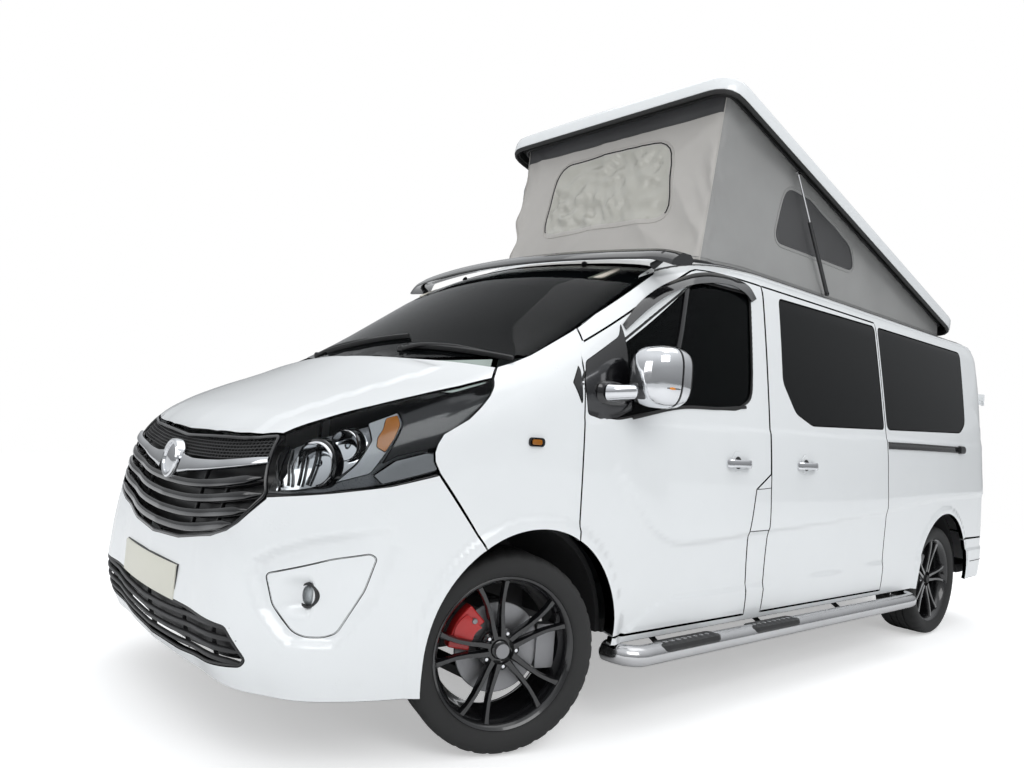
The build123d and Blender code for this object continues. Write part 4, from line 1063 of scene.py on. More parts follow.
# fog lamps in the pods
pod_line = np.concatenate([POD, POD[:2]])
pair(strip("pod_edge_left", behind(pod_line, 5), 13, 3, "paint"), "pod_edge_%s", "body")
fog_mid = from_wrap([(690, 548)])[0]
fog_at = frame_at(fog_mid + np.array([4, 8, 0]), (0, 0, 1), (1, 0.36, 0.02))
fog = [lathe("fog_glass", [(0.01, 7), (14, 6), (24, 3), (29, -2)], fog_at, "lens", 36),
    lathe("fog_ring", [(29, -3), (29, 4), (31, 6.5), (35, 7), (37, 4), (38, -26)], fog_at, "black", 36),
    lathe("fog_bowl", [(0.01, -24), (10, -23), (20, -16), (29, -4)], fog_at, "chrome", 36)]
pair(join("fog_lamp_left", fog), "fog_lamp_%s", "body")


# Wheels

def wheel_parts(tag):
    """Tyre and rim pieces about the local Z axis, outside up."""
    section = [(252, -96), (256, -104), (264, -109), (280, -115), (300, -117.5), (314, -114), (323, -106),
        (328.5, -94), (330.5, -80)]
    crown = []
    for centre in (-60, -22, 22, 60):
        crown += [(331.2, centre - 15), (331.8, centre - 6), (331.8, centre + 6), (331.2, centre + 15)]
        if centre < 60:
            crown += [(330.8, centre + 16.2), (324, centre + 17.2), (324, centre + 21),
                (330.8, centre + 22.2)]
    profile = section + crown + [(r, -z) for r, z in section[::-1]]
    profile += [(250, 88), (248, 0), (250, -88)]
    profile = np.array(profile)
    count = 180
    loops = []
    for k in range(count):
        a = 2 * pi * k / count
        rows = profile.copy()
        block = (k % 5) < 1
        wide = np.abs(rows[:, 1]) > 74
        outer_zone = wide & (rows[:, 0] > 322)
        rows[outer_zone, 0] -= 3.6 if block else 0
        rows[(np.abs(rows[:, 1]) < 50) & (rows[:, 0] > 329), 0] -= 2.6 if (k + 2) % 5 < 1 else 0
        ribs = 0.9 * (1 if (k // 6) % 2 else 0)
        rows[(rows[:, 0] > 290) & (rows[:, 0] < 312), 1] *= 1 + ribs * 0.004
        loops.append(put(np.column_stack([rows[:, 0] * cos(a), rows[:, 0] * sin(a), rows[:, 1]]), UPRIGHT))
    tyre = loft("tyre_" + tag, loops, "rubber", ring=True)
    barrel = [(244, 96), (252, 101), (257, 98), (258, 92), (252, 86), (240, 80), (232, 70), (228, 40),
        (222, 10), (214, -40), (222, -78), (240, -92), (254, -96), (252, -100),
        (242, -97), (226, -84), (210, -40), (218, 8), (222, 38), (226, 66), (234, 82), (240, 92)]
    rim = [lathe("rim", barrel + barrel[:1], UPRIGHT, "rim", 96)]
    for k in range(5):
        for side in (-1, 1):
            loops = []
            for r, off, width, high, deep in ((46, 13, 26, 70, 30), (80, 17, 23, 72, 30),
                (120, 20, 20, 76, 28), (165, 27, 18, 81, 24), (205, 38, 19, 86, 20), (236, 49, 24, 88, 18)):
                lean = side * off
                row = []
                for a, b in ((-1, -1), (-1, 0.35), (-0.62, 1), (0.62, 1), (1, 0.35), (1, -1)):
                    y = lean + a * width / 2
                    row.append((sqrt(max(r * r - y * y, 1)), y, high - deep / 2 + b * deep / 2))
                loops.append(row)
            spoke = loft("spoke", loops, "rim")
            turn = Matrix.Rotation(radians(72 * k + 90), 4, "Z")
            spoke.data.transform(turn)
            rim.append(spoke)
    rim.append(lathe("hub", [(0.01, 52), (60, 52), (70, 50), (74, 42), (72, 20), (60, -5), (40, -14)][::-1],
            UPRIGHT, "rim", 48))
    rim.append(lathe("cap", [(0.01, 63), (16, 62.5), (26, 61), (30, 58), (31, 54), (33, 52), (33, 48)],
            UPRIGHT, "rim", 40))
    for k in range(5):
        a = radians(72 * k + 54)
        at = at_point(57 * cos(a), 57 * sin(a), 0)
        rim.append(lathe("nut", [(0.01, 61), (6, 60.5), (8.5, 57), (9, 46)], at, "chrome", 6))
        rim.append(lathe("nut_seat", [(9.2, 50), (13, 53), (15, 52), (15, 46)], at, "rim", 20))
    rim.append(tube("valve", [(cos(0.31) * 224, sin(0.31) * 224, 70),
            (cos(0.31) * 214, sin(0.31) * 214, 96)], [4, 3.2], "black", 10))
    return tyre, join("wheel_" + tag, rim)


def set_on(piece, origin, outside, spin=0):
    """Moves a piece built about the Z axis onto a hub."""
    z = Vector(outside).normalized()
    x = Vector((0, 0, 1)).cross(z).normalized()
    y = z.cross(x)
    turn = Matrix(((x.x, y.x, z.x, origin[0] * MM), (x.y, y.y, z.y, origin[1] * MM),
            (x.z, y.z, z.z, origin[2] * MM), (0, 0, 0, 1)))
    piece.data.transform(turn @ Matrix.Rotation(radians(spin), 4, "Z"))
    return piece


HUBS = {"front_left": ((1783, 797.3, 332), (0.309, 0.951, 0), 14),
    "front_right": ((1749, -797.3, 332), (-0.309, -0.951, 0), 40), "rear_left": ((-1732, 800, 332),
        (0, 1, 0), -12), "rear_right": ((-1732, -800, 332), (0, -1, 0), 25)}
master_tyre, master_rim = wheel_parts("master")
for corner, (origin, outside, spin) in HUBS.items():
    for master, node, slot in ((master_tyre, "tyre_", "tyre_rubber"), (master_rim, "wheel_", "wheel_black")):
        piece = new_object(node + corner + "_look", master.data.copy())
        place(set_on(piece, origin, outside, spin), "wheel_" + corner, [node + corner])
    disc = [lathe("disc", [(70, 20), (76, 24), (150, 24), (152, 22), (152, 14), (150, 12), (80, 12),
            (70, 8), (52, 36), (66, 38), (70, 34), (70, 20)], UPRIGHT, "cast", 72)]
    disc.append(lathe("disc_edge", [(152, 21), (152.6, 19), (152.6, 17), (152, 15)], UPRIGHT, "chassis", 72))
    place(set_on(join("disc_" + corner, disc), origin, outside), "wheel_" + corner)
for obj in (master_tyre, master_rim):
    bpy.data.objects.remove(obj)
for name in ("left", "right"):
    origin, outside, spin = HUBS["front_" + name]
    blocks = []
    rows = [(r * cos(a), r * sin(a)) for r, angles in ((112, np.linspace(-0.5, 0.5, 9)),
            (188, np.linspace(0.42, -0.42, 11))) for a in angles]
    blocks.append(prism("calliper", rows, 4, 54, UPRIGHT, "calliper", 6, 3))
    blocks.append(prism("calliper", [(x * 0.97 + 3, y * 0.6) for x, y in rows], 54, 60, UPRIGHT, "calliper",
            3, 2))
    for y in (-38, 38):
        blocks.append(lathe("pin", [(0.01, 64), (8, 63), (10, 60), (10, 50)], at_point(136, y, 0), "cast",
                20))
    piece = join("calliper_" + name, blocks)
    ahead = 1 if name == "left" else -1
    place(set_on(piece, origin, outside, 90 + 62 * ahead), "knuckle_" + name)


# Outside of the cab


def side_strip(name, rows, width, depth, look, body, slot, count=40, **settings):
    piece = strip(name % "left", on_side(spline(rows, count)), width, depth, look, **settings)
    return pair(piece, name, body)


# black corner of the door with the mirror's foot, its tip on the wing
SAIL = rounded([(1588, 1262), (1566, 1336), (1380, 1450), (1352, 1508), (1345, 1400), (1330, 1178),
        (1420, 1140), (1500, 1132), (1574, 1145)], 16)
both("sail_%s", "hoop", [on_side(SAIL)], "gloss", "cab_door_%s", "plastic_gloss", (), step=(24, 14),
    thick=16, sink=-1, edge=3, shrink=0)
TIP = rounded([(1606, 1180), (1646, 1252), (1606, 1316), (1600, 1300), (1600, 1190)], 5)
both("sail_tip_%s", "hoop", [on_side(TIP)], "gloss", "body", "plastic_gloss", (), step=(14, 10), thick=8,
    sink=-2, edge=2, shrink=0)

# door mirror: foot, arm and case in two bright parts round a dark seam, with the glass facing back
def ring_at(x, cy, cz, half_y, half_z, power=3.2, count=40):
    a = circle(count)
    c, s = np.cos(a), np.sin(a)
    return np.column_stack([np.full(count, x), cy + half_y * swell(c, 2 / power),
            cz + half_z * swell(s, 2 / power)])


case_rows = [(1250, 1058, 1308, 82, 96), (1254, 1058, 1308, 88, 104), (1272, 1057, 1307, 93, 112),
    (1310, 1056, 1306, 95, 115), (1355, 1054, 1304, 91, 112), (1385, 1052, 1302, 80, 102),
    (1408, 1050, 1300, 62, 84), (1418, 1049, 1299, 34, 50), (1420, 1049, 1299, 12, 18)]
case = loft("case", [ring_at(*row) for row in case_rows], "chrome")
shell_lip = loft("lip", [ring_at(1250, 1058, 1308, 82, 96), ring_at(1245, 1058, 1308, 86, 101),
        ring_at(1243, 1058, 1308, 84, 99), ring_at(1243, 1058, 1308, 78, 92),
        ring_at(1254, 1058, 1308, 76, 90)], "black", caps=False)
glass_rows = [ring_at(1252, 1058, 1308, 75, 89), ring_at(1249, 1058, 1308, 73, 87)]
mirror_glass = loft("mirror_glass", glass_rows, "steel")
seam = loft("seam", [ring_at(x, 1056, 1306, 96.3, 116.4) for x in (1306, 1308, 1311, 1313)], "gloss",
    caps=False)
low_case = tube("low_seam", spline([(1262, 971, 1262), (1310, 966, 1262), (1375, 978, 1262),
        (1404, 1050, 1262), (1380, 1128, 1262), (1310, 1146, 1262), (1262, 1141, 1262)], 40),
    3.2, "gloss", 8)
arm_loops = []
for x, y, z, half_x, half_z in ((1440, 952, 1232, 62, 34), (1432, 968, 1234, 58, 31),
    (1415, 990, 1238, 50, 28), (1395, 1010, 1242, 42, 27), (1370, 1030, 1248, 34, 27)):
    a = circle(28)
    c, s = np.cos(a), np.sin(a)
    arm_loops.append(np.column_stack([x + half_x * swell(c, 0.7), np.full(28, y) + 10 * c,
            z + half_z * swell(s, 0.7)]))
arm = loft("arm", arm_loops, "chrome")
foot_loops = [np.column_stack([1446 + (l[:, 0] - 1440) * k, np.full(28, y), 1230 + (l[:, 2] - 1232) * k])
    for l, k, y in ((arm_loops[0], 1.35, 932), (arm_loops[0], 1.32, 946), (arm_loops[0], 1.12, 955),
        (arm_loops[0], 0.98, 957))]
mirror_foot = loft("foot", foot_loops, "gloss")
blinker = loft("blinker", [ring_at(x, 1128, 1262, w, h, 2.4, 24) for x, w, h in ((1338, 18, 10),
        (1356, 17, 9), (1366, 12, 6), (1369, 5, 3))], "amber")
mirror_left = join("mirror_left_look", [case, shell_lip, mirror_glass, seam, low_case, arm, mirror_foot,
        blinker])
pair(mirror_left, "mirror_%s_look", "cab_door_%s", ["mirror_%s"])

# tinted wind deflector above the door glass
top_edge = spline([(1345, 1500), (1225, 1606), (1095, 1690), (960, 1752), (835, 1796), (690, 1822),
        (560, 1822), (455, 1800), (412, 1752)], 60)
low_edge = spline([(1338, 1478), (1215, 1568), (1092, 1644), (960, 1706), (835, 1742), (690, 1764),
        (580, 1766), (500, 1752), (458, 1730)], 60)
loops = []
high_side, low_side = on_side(top_edge), on_side(low_edge)
for t, a, b, nb in zip(np.linspace(0, 1, 60), high_side, low_side, outward(low_side)):
    lift = 24 * min(1, 4 * t + 0.25, 4 * (1 - t) + 0.25)
    mid = (a + b) / 2
    loops.append([a + nb, a + nb * 5, a * 0.72 + b * 0.28 + nb * lift * 0.75,
            mid * 0.6 + b * 0.4 + nb * lift, b + nb * (lift + 3), b + nb * (lift - 1),
            mid * 0.6 + b * 0.4 + nb * (lift - 5), a * 0.7 + b * 0.3 + nb * 2])
pair(loft("deflector_left", loops, "gloss"), "deflector_%s", "cab_door_%s")

# seal round the door glass and the upright bar in it
seal_path = closed(on_side(grown(resampled(DOOR_WINDOW, 24), 2)))
pair(strip("door_seal_left", seal_path, 13, 4, "seal", sink=4), "door_seal_%s", "cab_door_%s")
side_strip("glass_bar_%s", [(930, 1730), (955, 1650), (1008, 1487), (1072, 1330), (1110, 1210)], 26, 7,
    "gloss", "cab_door_%s", "plastic_gloss", sink=8)
side_strip("waist_seal_%s", [(560, 1246), (760, 1226), (1015, 1212), (1330, 1150)], 13, 5, "seal",
    "cab_door_%s", "plastic_black")


def handle(tag, x, z, length):
    """Bright bar handle over a round finger scoop."""
    middle = on_side([(x, z)])[0]
    out = outward(middle[None])[0]
    at = frame_at(middle, (-1, 0, 0), out)
    half = length / 2
    rows = []
    for u, lift, w, d in ((-half, 3, 13, 6), (-half + 5, 8, 17, 12), (-half + 18, 20, 17, 15),
        (-half * 0.3, 27, 16, 14), (half * 0.3, 27, 16, 14), (half - 26, 22, 18, 15),
        (half - 8, 12, 18, 13), (half, 4, 14, 7)):
        a = circle(20)
        rows.append(np.column_stack([np.full(20, u), w * swell(np.cos(a), 0.6),
                lift + d / 2 * swell(np.sin(a), 0.6)]))
    bar = loft("bar", [put(r, at) for r in rows], "chrome")
    scoop_at = (at[0], at[1] + at[0] @ np.array([-4, 0, 0]))
    scoop = lathe("scoop", [(0.01, 1.2), (20, 1.4), (34, 2.2), (40, 3.4), (43, 3), (44, 0)],
        (scoop_at[0], scoop_at[1] + np.array([0, 0, 10])), "paint", 40)
    # the black disc low in the scoop, under the bar, is painted shade
    dark = lathe("scoop_painted_shade", [(0.01, 2.4), (16, 2.6), (25, 3.2), (27, 2)],
        (scoop_at[0], scoop_at[1] + np.array([0, 0, 4])), "black", 36)
    gasket = prism("gasket", rounded(oblong(-half + 2, -14, -half + 30, 14), 6), 0, 4, at, "seal", 1, 2)
    gasket2 = prism("gasket", rounded(oblong(half - 34, -16, half - 2, 16), 6), 0, 4, at, "seal", 1, 2)
    piece = join("handle_" + tag, [bar, scoop, dark, gasket, gasket2])
    return piece


pair(handle("left", 640, 1000, 172), "handle_%s", "cab_door_%s")
place(handle("slider", 60, 1004, 168), "body")

# repeaters, fuel flap, sliding door rail
repeater_at = frame_at(on_side([(1808, 1038)])[0], (-1, 0, 0), outward(on_side([(1808, 1038)]))[0])
rows = plaque(34, 15, 14)
pair(join("repeater_left", [prism("repeater", rows, 0, 4, repeater_at, "black", 1.5, 2),
        prism("repeater", rows * 0.86, 4, 12, repeater_at, "lens", 4, 3),
        prism("repeater", rows * 0.6, 3, 6, repeater_at, "amber", 1, 2)]), "repeater_%s", "body")
groove = strip("flap_line_top", on_side(spline([(490, 893), (430, 896), (373, 900)], 10)), 3.2, 0.6, "seal",
    sink=0)
groove2 = strip("flap_line_low", on_side(spline([(531, 711), (450, 712), (374, 713)], 10)), 3.2, 0.6,
    "seal", sink=0)
place(join("fuel_flap_lines", [groove, groove2]), "body")
rail_path = on_side(spline([(-856, 1141), (-1300, 1149), (-1955, 1157)], 40))
place(join("rail_left", [strip("rail", behind(rail_path, 1), 40, 3, "gloss"),
        strip("rail", behind(on_side(spline([(-856, 1156), (-1300, 1164), (-1955, 1172)], 40)), 1), 7, 9,
        "black"), strip("rail", behind(on_side(spline([(-856, 1125), (-1300, 1133), (-1955, 1141)], 40)),
        1), 7, 9, "black")]), "body")
cap_at = on_side(spline([(-1912, 1157), (-1940, 1157), (-1975, 1158), (-1996, 1158)], 16))
place(strip("rail_cap", cap_at, np.interp(np.linspace(0, 1, 16), [0, 0.1, 0.9, 1], [44, 50, 48, 36]), 20,
        "black"), "body")

# stainless side bars, bent in at both ends, with two ribbed treads each
bar_path = np.array([(1322, 900, 286), (1318, 940, 285), (1304, 978, 284), (1280, 1000, 283),
        (1248, 1011, 282)] + [(x, 1012, 282) for x in np.linspace(1200, -1090, 40)]
    + [(-1120, 1011, 282), (-1150, 1000, 283), (-1172, 978, 284), (-1184, 940, 285), (-1188, 900, 286)],
    float)
bars = [tube("side_bar", bar_path, 38, "steel", 32)]
for x0, x1 in ((1180, 760), (560, 130)):
    loops = []
    for x in np.linspace(x0, x1, 44):
        t = (x0 - x) / (x0 - x1)
        rise = ease(min(t, 1 - t) / 0.12)
        half = 20 + 18 * rise
        top = 282 + 33 + 4 * rise
        rib = 1.6 if int(t * 43) % 4 < 2 and rise > 0.9 else 0
        loops.append([(x, 1012 - half - 2, 286), (x, 1012 - half, top - 10), (x, 1012 - half + 6, top - 2),
                (x, 1012 - half * 0.5, top + rib), (x, 1012 + half * 0.5, top + rib),
                (x, 1012 + half - 3, top - 4), (x, 1012 + half + 2, top - 18), (x, 1012 + half * 0.9, 284),
                (x, 1012, 292)])
    bars.append(loft("tread", loops, "black"))
for x in (1050, 300, -450, -1050):
    bars.append(prism("bracket", oblong(x - 18, 930, x + 18, 990), 268, 276, UPRIGHT, "chassis", 2, 2))
    bars.append(tube("bracket", [(x, 860, 318), (x, 900, 300), (x, 940, 276), (x, 985, 274)], 11, "chassis",
            10))
side_bar = join("side_bar_left", bars)
pair(side_bar, "side_bar_%s", "body", ["side_bars"])

# sun visor over the screen: curved blade with thick end caps and two feet each side
loops = []
for t in np.linspace(-1, 1, 121):
    y = 915 * t
    edge = max(0, (abs(t) - 0.86) / 0.14)
    x = 1249 - 122 * t * t - 8 * edge
    z = 1842 - 26 * t * t - 22 * edge * edge
    chord, thick = 132 - 18 * t * t + 26 * edge, 34 + 26 * edge
    nose_z, back_z = z - 22, z + 20
    loops.append([(x + 2, y, nose_z - 2), (x + 4, y, nose_z + 4), (x - 8, y, nose_z + 12 + thick * 0.2),
            (x - chord * 0.45, y, z + 16 + thick * 0.35), (x - chord * 0.85, y, back_z + 6 + thick * 0.2),
            (x - chord, y, back_z), (x - chord * 0.9, y, back_z - thick * 0.4),
            (x - chord * 0.45, y, z + 4 - thick * 0.3), (x - 10, y, nose_z - 2)])
visor = [loft("visor", loops, "gloss")]
for y in (-860, -430, 430, 860):
    visor.append(tube("visor_foot", [(1125 - 20 * (abs(y) / 860), y, 1822),
            (1110 - 20 * (abs(y) / 860), y * 0.97, 1800), (1098, y * 0.93, 1778 if abs(y) > 500 else 1812)],
            [13, 12, 16], "black", 12))
for k in range(-7, 8, 2):
    y = k * 110
    x, z = 1249 - 122 * (y / 905) ** 2, 1842 - 26 * (y / 905) ** 2
    visor.append(lathe("marker", [(0.01, 10), (5, 9.5), (8, 6), (9, 0)],
            frame_at((x - 100, y, z + 22), (1, 0, 0), (-0.3, 0, 1)), "gloss", 16))
place(join("sun_visor_look", visor), "body", ["sun_visor"])

# cowl below the screen and two wipers
cowl = panel("cowl", "deck", [from_deck([(1876, 784), (1952, 422), (1992, 210), (2006, 0), (1992, -210),
        (1952, -422), (1876, -784), (1836, -800), (1895, -560), (1945, -300), (1962, 0),
        (1945, 300), (1895, 560), (1836, 800)])], "black", step=(20, 20), thick=6, sink=26, edge=2,
    shrink=0, back=False)
place(cowl, "body", ["scuttle"])
slots_in_cowl = []
for y in np.linspace(-560, 560, 15):
    x = 1972 - 0.00012 * y * y
    p = from_deck(spline([(x - 16, y), (x + 12, y)], 6))
    slots_in_cowl.append(strip("slot", behind(p, 26), 22, 2, "seal"))
place(join("cowl_slots", slots_in_cowl), "body")
wipers = []
for pivot, knee, tip in (((1910, 250), (1862, 470), (1826, 720)), ((1916, -420), (1882, -150), (1840, 90))):
    a, b, c = (from_deck([q])[0] + np.array([0, 0, h]) for q, h in ((pivot, 0), (knee, 18), (tip, 12)))
    wipers.append(tube("arm", spline([a, a * 0.6 + b * 0.4 + (0, 0, 10), b, c], 24),
            np.interp(np.linspace(0, 1, 24), [0, 0.3, 1], [11, 8, 5]), "black", 10))
    wipers.append(lathe("pivot", [(0.01, 16), (9, 15), (14, 10), (15, -6)], (np.eye(3), a), "black", 24))
    blade = from_deck([(tip[0] + (knee[0] - tip[0]) * s, tip[1] + (knee[1] - tip[1]) * s)
            for s in np.linspace(-0.35, 1.75, 30)])
    wipers.append(strip("blade", blade, 11, 14, "black", sink=-4))
    wipers.append(strip("rubber", blade, 4, 6, "seal"))
place(join("wipers", wipers), "body")


# Roof

# fixed roof round the sleeping opening, with a raised fairing ahead of it
ROOF = np.concatenate([from_deck([(x, 772) for x in np.linspace(-2440, 1120, 40)]),
        on_front([(748, 1792), (400, 1822), (0, 1835), (-400, 1822), (-748, 1792)]),
        from_deck([(x, -772) for x in np.linspace(1120, -2440, 40)]),
        from_stern([(y, np.interp(abs(y), [0, 400, 790], [1862, 1858, 1850]))
        for y in np.linspace(-790, 790, 41)])])
HOLE = from_deck(rounded(oblong(-1702, -608, 549, 608), 60))
place(panel("roof_skin", "deck", [ROOF, HOLE], "paint", step=(40, 24), thick=30), "body",
    ["fixed_roof"])
ditch = strip("roof_ditch_left", behind(from_deck([(x, 776) for x in np.linspace(-2500, 1100, 60)]), 1), 15,
    3, "seal", sink=2)
pair(ditch, "roof_ditch_%s", "body")
pair(strip("ditch_cover_left", from_deck([(x, 803) for x in np.linspace(-2440, 560, 60)]), 15, 5, "paint"),
    "ditch_cover_%s", "body")

across = np.sin(np.linspace(-1, 1, 41) * pi / 2)
FAIRING = [(908, -4, 668), (896, 10, 676), (860, 32, 684), (815, 47, 688), (775, 54, 690), (745, 54, 688),
    (732, 46, 684), (726, 30, 680), (724, -4, 678)]
rows = from_deck([(x, half * u) for x, height, half in FAIRING for u in across]).reshape(len(FAIRING), 41, 3)
for row, (x, height, half) in zip(rows, FAIRING):
    row[:, 2] += -4 + (height + 4) * (1 - np.abs(across) ** 14)
fairing = mesh_object("roof_fairing", rows.reshape(-1, 3), [(k * 41 + i, k * 41 + i + 1,
        (k + 1) * 41 + i + 1, (k + 1) * 41 + i) for k in range(len(FAIRING) - 1) for i in range(40)],
    "paint")
mend(fairing, 60)
place(fairing, "body")

# raised roof shell, in its own plane: x along from the hinge, z above the plane
LIFT = radians(15.2)
ROOF_AT = (np.array([[cos(LIFT), 0, -sin(LIFT)], [0, 1, 0], [sin(LIFT), 0, cos(LIFT)]]),
    np.array([HINGE_X, 0, HINGE_Z], float))


def roof_ring(inset, height, crown=0.0, count=220):
    """Outline of the roof shell at an inset, with a crown, kept clear of the fixed roof when shut."""
    front, back, half = 2890 - inset, -30 + inset, 782 - inset
    rows = rounded(oblong(back, -half, front, half), max(130 - inset * 0.8, 30))
    rows = closed(rows)
    t = lengths(rows)
    at = np.linspace(0, t[-1], count, endpoint=False)
    rows = np.stack([np.interp(at, t, rows[:, i]) for i in range(2)], -1)
    z = height + crown * (1 - (rows[:, 1] / 782) ** 2)
    clear = curve(rows[:, 0] + HINGE_X, ROOF_LINE) - curve(np.abs(rows[:, 1]), ROOF_DROP) + 7 - HINGE_Z
    return put(np.column_stack([rows, np.where(z < clear, clear + (z - clear) * 0.03, z)]), ROOF_AT)


SHELL = [(6, -16, 0), (1, -13, 0), (0, -8, 0), (0, 38, 4), (2, 48, 6), (7, 56, 9), (16, 62, 13),
    (30, 66, 18), (60, 69, 27), (110, 73, 33), (200, 78, 34), (330, 84, 29), (480, 90, 23), (620, 95, 17),
    (730, 99, 13), (778, 101, 11)]
place(loft("roof_shell", [roof_ring(*row) for row in SHELL], "paint", caps=False), "roof_cover",
    ["roof_cover"])
LINING = [(6, -14), (22, -16), (26, -12), (27, 30), (40, 38), (90, 42), (300, 46), (600, 52), (778, 56)]
lining = loft("roof_lining", [roof_ring(*row) for row in LINING], "seal", caps=False)
lip = loft("roof_seal", [roof_ring(*row) for row in ((3, -15), (3, -26), (8, -34), (15, -34), (20, -26),
        (20, -15))], "seal", ring=True)
step = loft("roof_frame", [roof_ring(*row) for row in ((58, 36), (58, 4), (62, -2), (70, -2), (74, 4),
        (74, 14), (78, 18), (150, 22), (154, 40))], "seal", caps=False)
place(join("roof_underside", [lining, lip, step]), "roof_cover")
links = []
for sign in (-1, 1):
    beside = (np.array([[1, 0, 0], [0, 0, -1], [0, 1, 0]], float), np.array([0, sign * 560.0, 0]))
    links.append(prism("hinge_leaf", rounded([(-2215, 1938), (-2150, 1938), (-2150, 1962), (-2180, 1974),
            (-2215, 1962)], 8), -6, 6, beside, "seal", 1.5, 2))
place(join("roof_hinges", links), "body")


# Canvas of the raised roof

# One sheet round the front and both sides: t runs along its hem, h up it, both in millimetres
REAR_X, FRONT_X, HALF_Y = -2105.0, 640.0, 704.0
# depth of the dark band along the top of the front: a painted shadow of the roof's front edge
PAINTED_SHADOW_BAND = 96
plan = [(REAR_X, -HALF_Y)] + [(FRONT_X - 46 + dx, -HALF_Y + 46 + dy) for dx, dy in arc(0, 0, 46, -90, 0, 8)]
plan = np.array(plan + [(x, -y) for x, y in plan[::-1]])
gap = lengths(plan)
HEM_T = np.unique(np.concatenate([np.linspace(0, gap[-1], 400), gap]))
HEM = np.stack([np.interp(HEM_T, gap, plan[:, i]) for i in range(2)], -1)
HEM_Z = from_deck(np.column_stack([np.minimum(HEM[:, 0], 545), np.clip(HEM[:, 1], -700, 700)]))[:, 2] - 5
LEAN = 126 * np.clip((HEM[:, 0] - REAR_X) / (FRONT_X - REAR_X), 0, 1) ** 1.5
TALL = HINGE_Z + (HEM[:, 0] - LEAN - HINGE_X) * tan(LIFT) + 34 - HEM_Z
TOTAL = HEM_T[-1]
CORNERS = (gap[5], TOTAL - gap[5])
ahead = unit_rows(np.gradient(HEM, axis=0))
OUT = np.stack([ahead[:, 1], -ahead[:, 0]], -1)
rng = np.random.default_rng(7)
WAVES = rng.uniform(size=(90, 6))


def along(t, values):
    return np.interp(t, HEM_T, values)


def canvas_depth(t, h, tall, film=False):
    """How far the cloth stands out: a belly, soft drapes, and crumples at the corners and in the film."""
    s = h / tall
    corner = np.minimum(np.abs(t - CORNERS[0]), np.abs(t - CORNERS[1]))
    near, big = np.exp(-((corner / 105) ** 2)), np.minimum(1, tall / 500)
    hold = np.clip(np.minimum(7 * s, 7 * (1 - s)), 0, 1)
    depth = -15 * np.sin(pi * s) * big * (1 - 0.6 * near)
    for i, (u, v, w, angle, phase, size) in enumerate(WAVES):
        turn = (angle - 0.5) * (2.4 if i < 50 else 1.2)
        wave = np.sin(((t - TOTAL / 2) * cos(turn) + h * sin(turn)) / (70 + 150 * w if i < 50 else 30 + 40
                * w) + 40 * phase)
        if i < 50:
            patch = np.exp(-(((t - u * TOTAL) / 380) ** 2) - ((h - v * 800) / 300) ** 2)
            depth += 8 * (1 - 2 * np.abs(wave) ** 0.7) * patch * hold * big
        else:
            middle = CORNERS[i % 2] + (u - 0.5) * 130
            patch = np.exp(-(((t - middle) / 75) ** 2) - ((h - v * 820) / 80) ** 2)
            depth += 26 * size * (0.5 - np.abs(wave)) * patch * hold * big
    if film:
        for u, v, w, angle, phase, size in WAVES[:44]:
            turn = angle * 3.1
            wave = np.sin(((t - TOTAL / 2) * cos(turn) + h * sin(turn)) / (16 + 30 * w) + 30 * phase)
            patch = np.exp(-(((t - TOTAL / 2 + 450 - 900 * u) / 130) ** 2) - ((h - 210 - v * 400) / 90) ** 2)
            depth += 13 * (0.5 - np.abs(wave)) * patch
    return depth


def canvas_at(t, h, out=0.0, film=None):
    """Points of the canvas wall, and how far each stands from it."""
    t, h = np.asarray(t, float), np.asarray(h, float)
    tall = along(t, TALL)
    h = np.minimum(h, tall)
    depth = canvas_depth(t, h, tall) + out
    if film is not None:
        depth = np.where(film, canvas_depth(t, h, tall, True), depth)
    x = along(t, HEM[:, 0]) - along(t, LEAN) * h / tall + along(t, OUT[:, 0]) * depth
    return np.stack([x, along(t, HEM[:, 1]) + along(t, OUT[:, 1]) * depth, along(t, HEM_Z) + h], -1)


def side_spot(x, z):
    """Place on the sheet's left side of a point seen from beside it."""
    low = x
    for _ in range(4):
        t = TOTAL - (low - REAR_X)
        h = z - along(t, HEM_Z)
        low = x + along(t, LEAN) * h / along(t, TALL)
    return t, h


middle = TOTAL / 2
FILM = rounded([(middle - 436, 226), (middle + 436, 226), (middle + 392, 622), (middle - 392, 622)], 105)
VENT = rounded([side_spot(*p) for p in ((10, 2132), (-78, 2428), (-330, 2408), (-800, 2268), (-862, 2144))],
    70)
VENT_FAR = np.column_stack([TOTAL - VENT[:, 0], VENT[:, 1]])[::-1]
loops = [resampled(l, 22) for l in (FILM, VENT, VENT_FAR)]
top = np.arange(TOTAL, 0, -26.0)
rim = np.concatenate([[(t, 0) for t in np.arange(0, TOTAL, 26.0)], [(TOTAL, 0)],
        [(t, along(t, TALL)) for t in top], [(0, TALL[0])]])
# line along the lower edge of the painted shadow band
band = [(t, along(t, TALL) - PAINTED_SHADOW_BAND) for t in np.arange(CORNERS[0], CORNERS[1], 24.0)]
seams = [[(c, h) for h in np.arange(22, along(c, TALL) - 8, 22.0)] for c in CORNERS]
fine = np.stack(np.meshgrid(np.arange(8, TOTAL, 17.0), np.arange(9, 830, 17.0)), -1).reshape(-1, 2)
far = (np.minimum(np.abs(fine[:, 0] - CORNERS[0]), np.abs(fine[:, 0] - CORNERS[1])) > 420) & (np.abs(fine[:,
        0] - middle) > 700)
fine = fine[~far | ((np.round(fine[:, 0] / 17) % 2 == 0) & (np.round(fine[:, 1] / 17) % 2 == 0))]
fixed = np.concatenate([rim, *loops, band, *seams])
fine = fine[(fine[:, 1] < along(fine[:, 0], TALL) - 9)]
spare = np.full(len(fine), 1e9)
for start in range(0, len(fixed), 200):
    spare = np.minimum(spare, np.linalg.norm(fine[:, None] - fixed[None, start:start + 200], axis=2).min(1))
fine = fine[spare > 10]
edges, start = [], 0
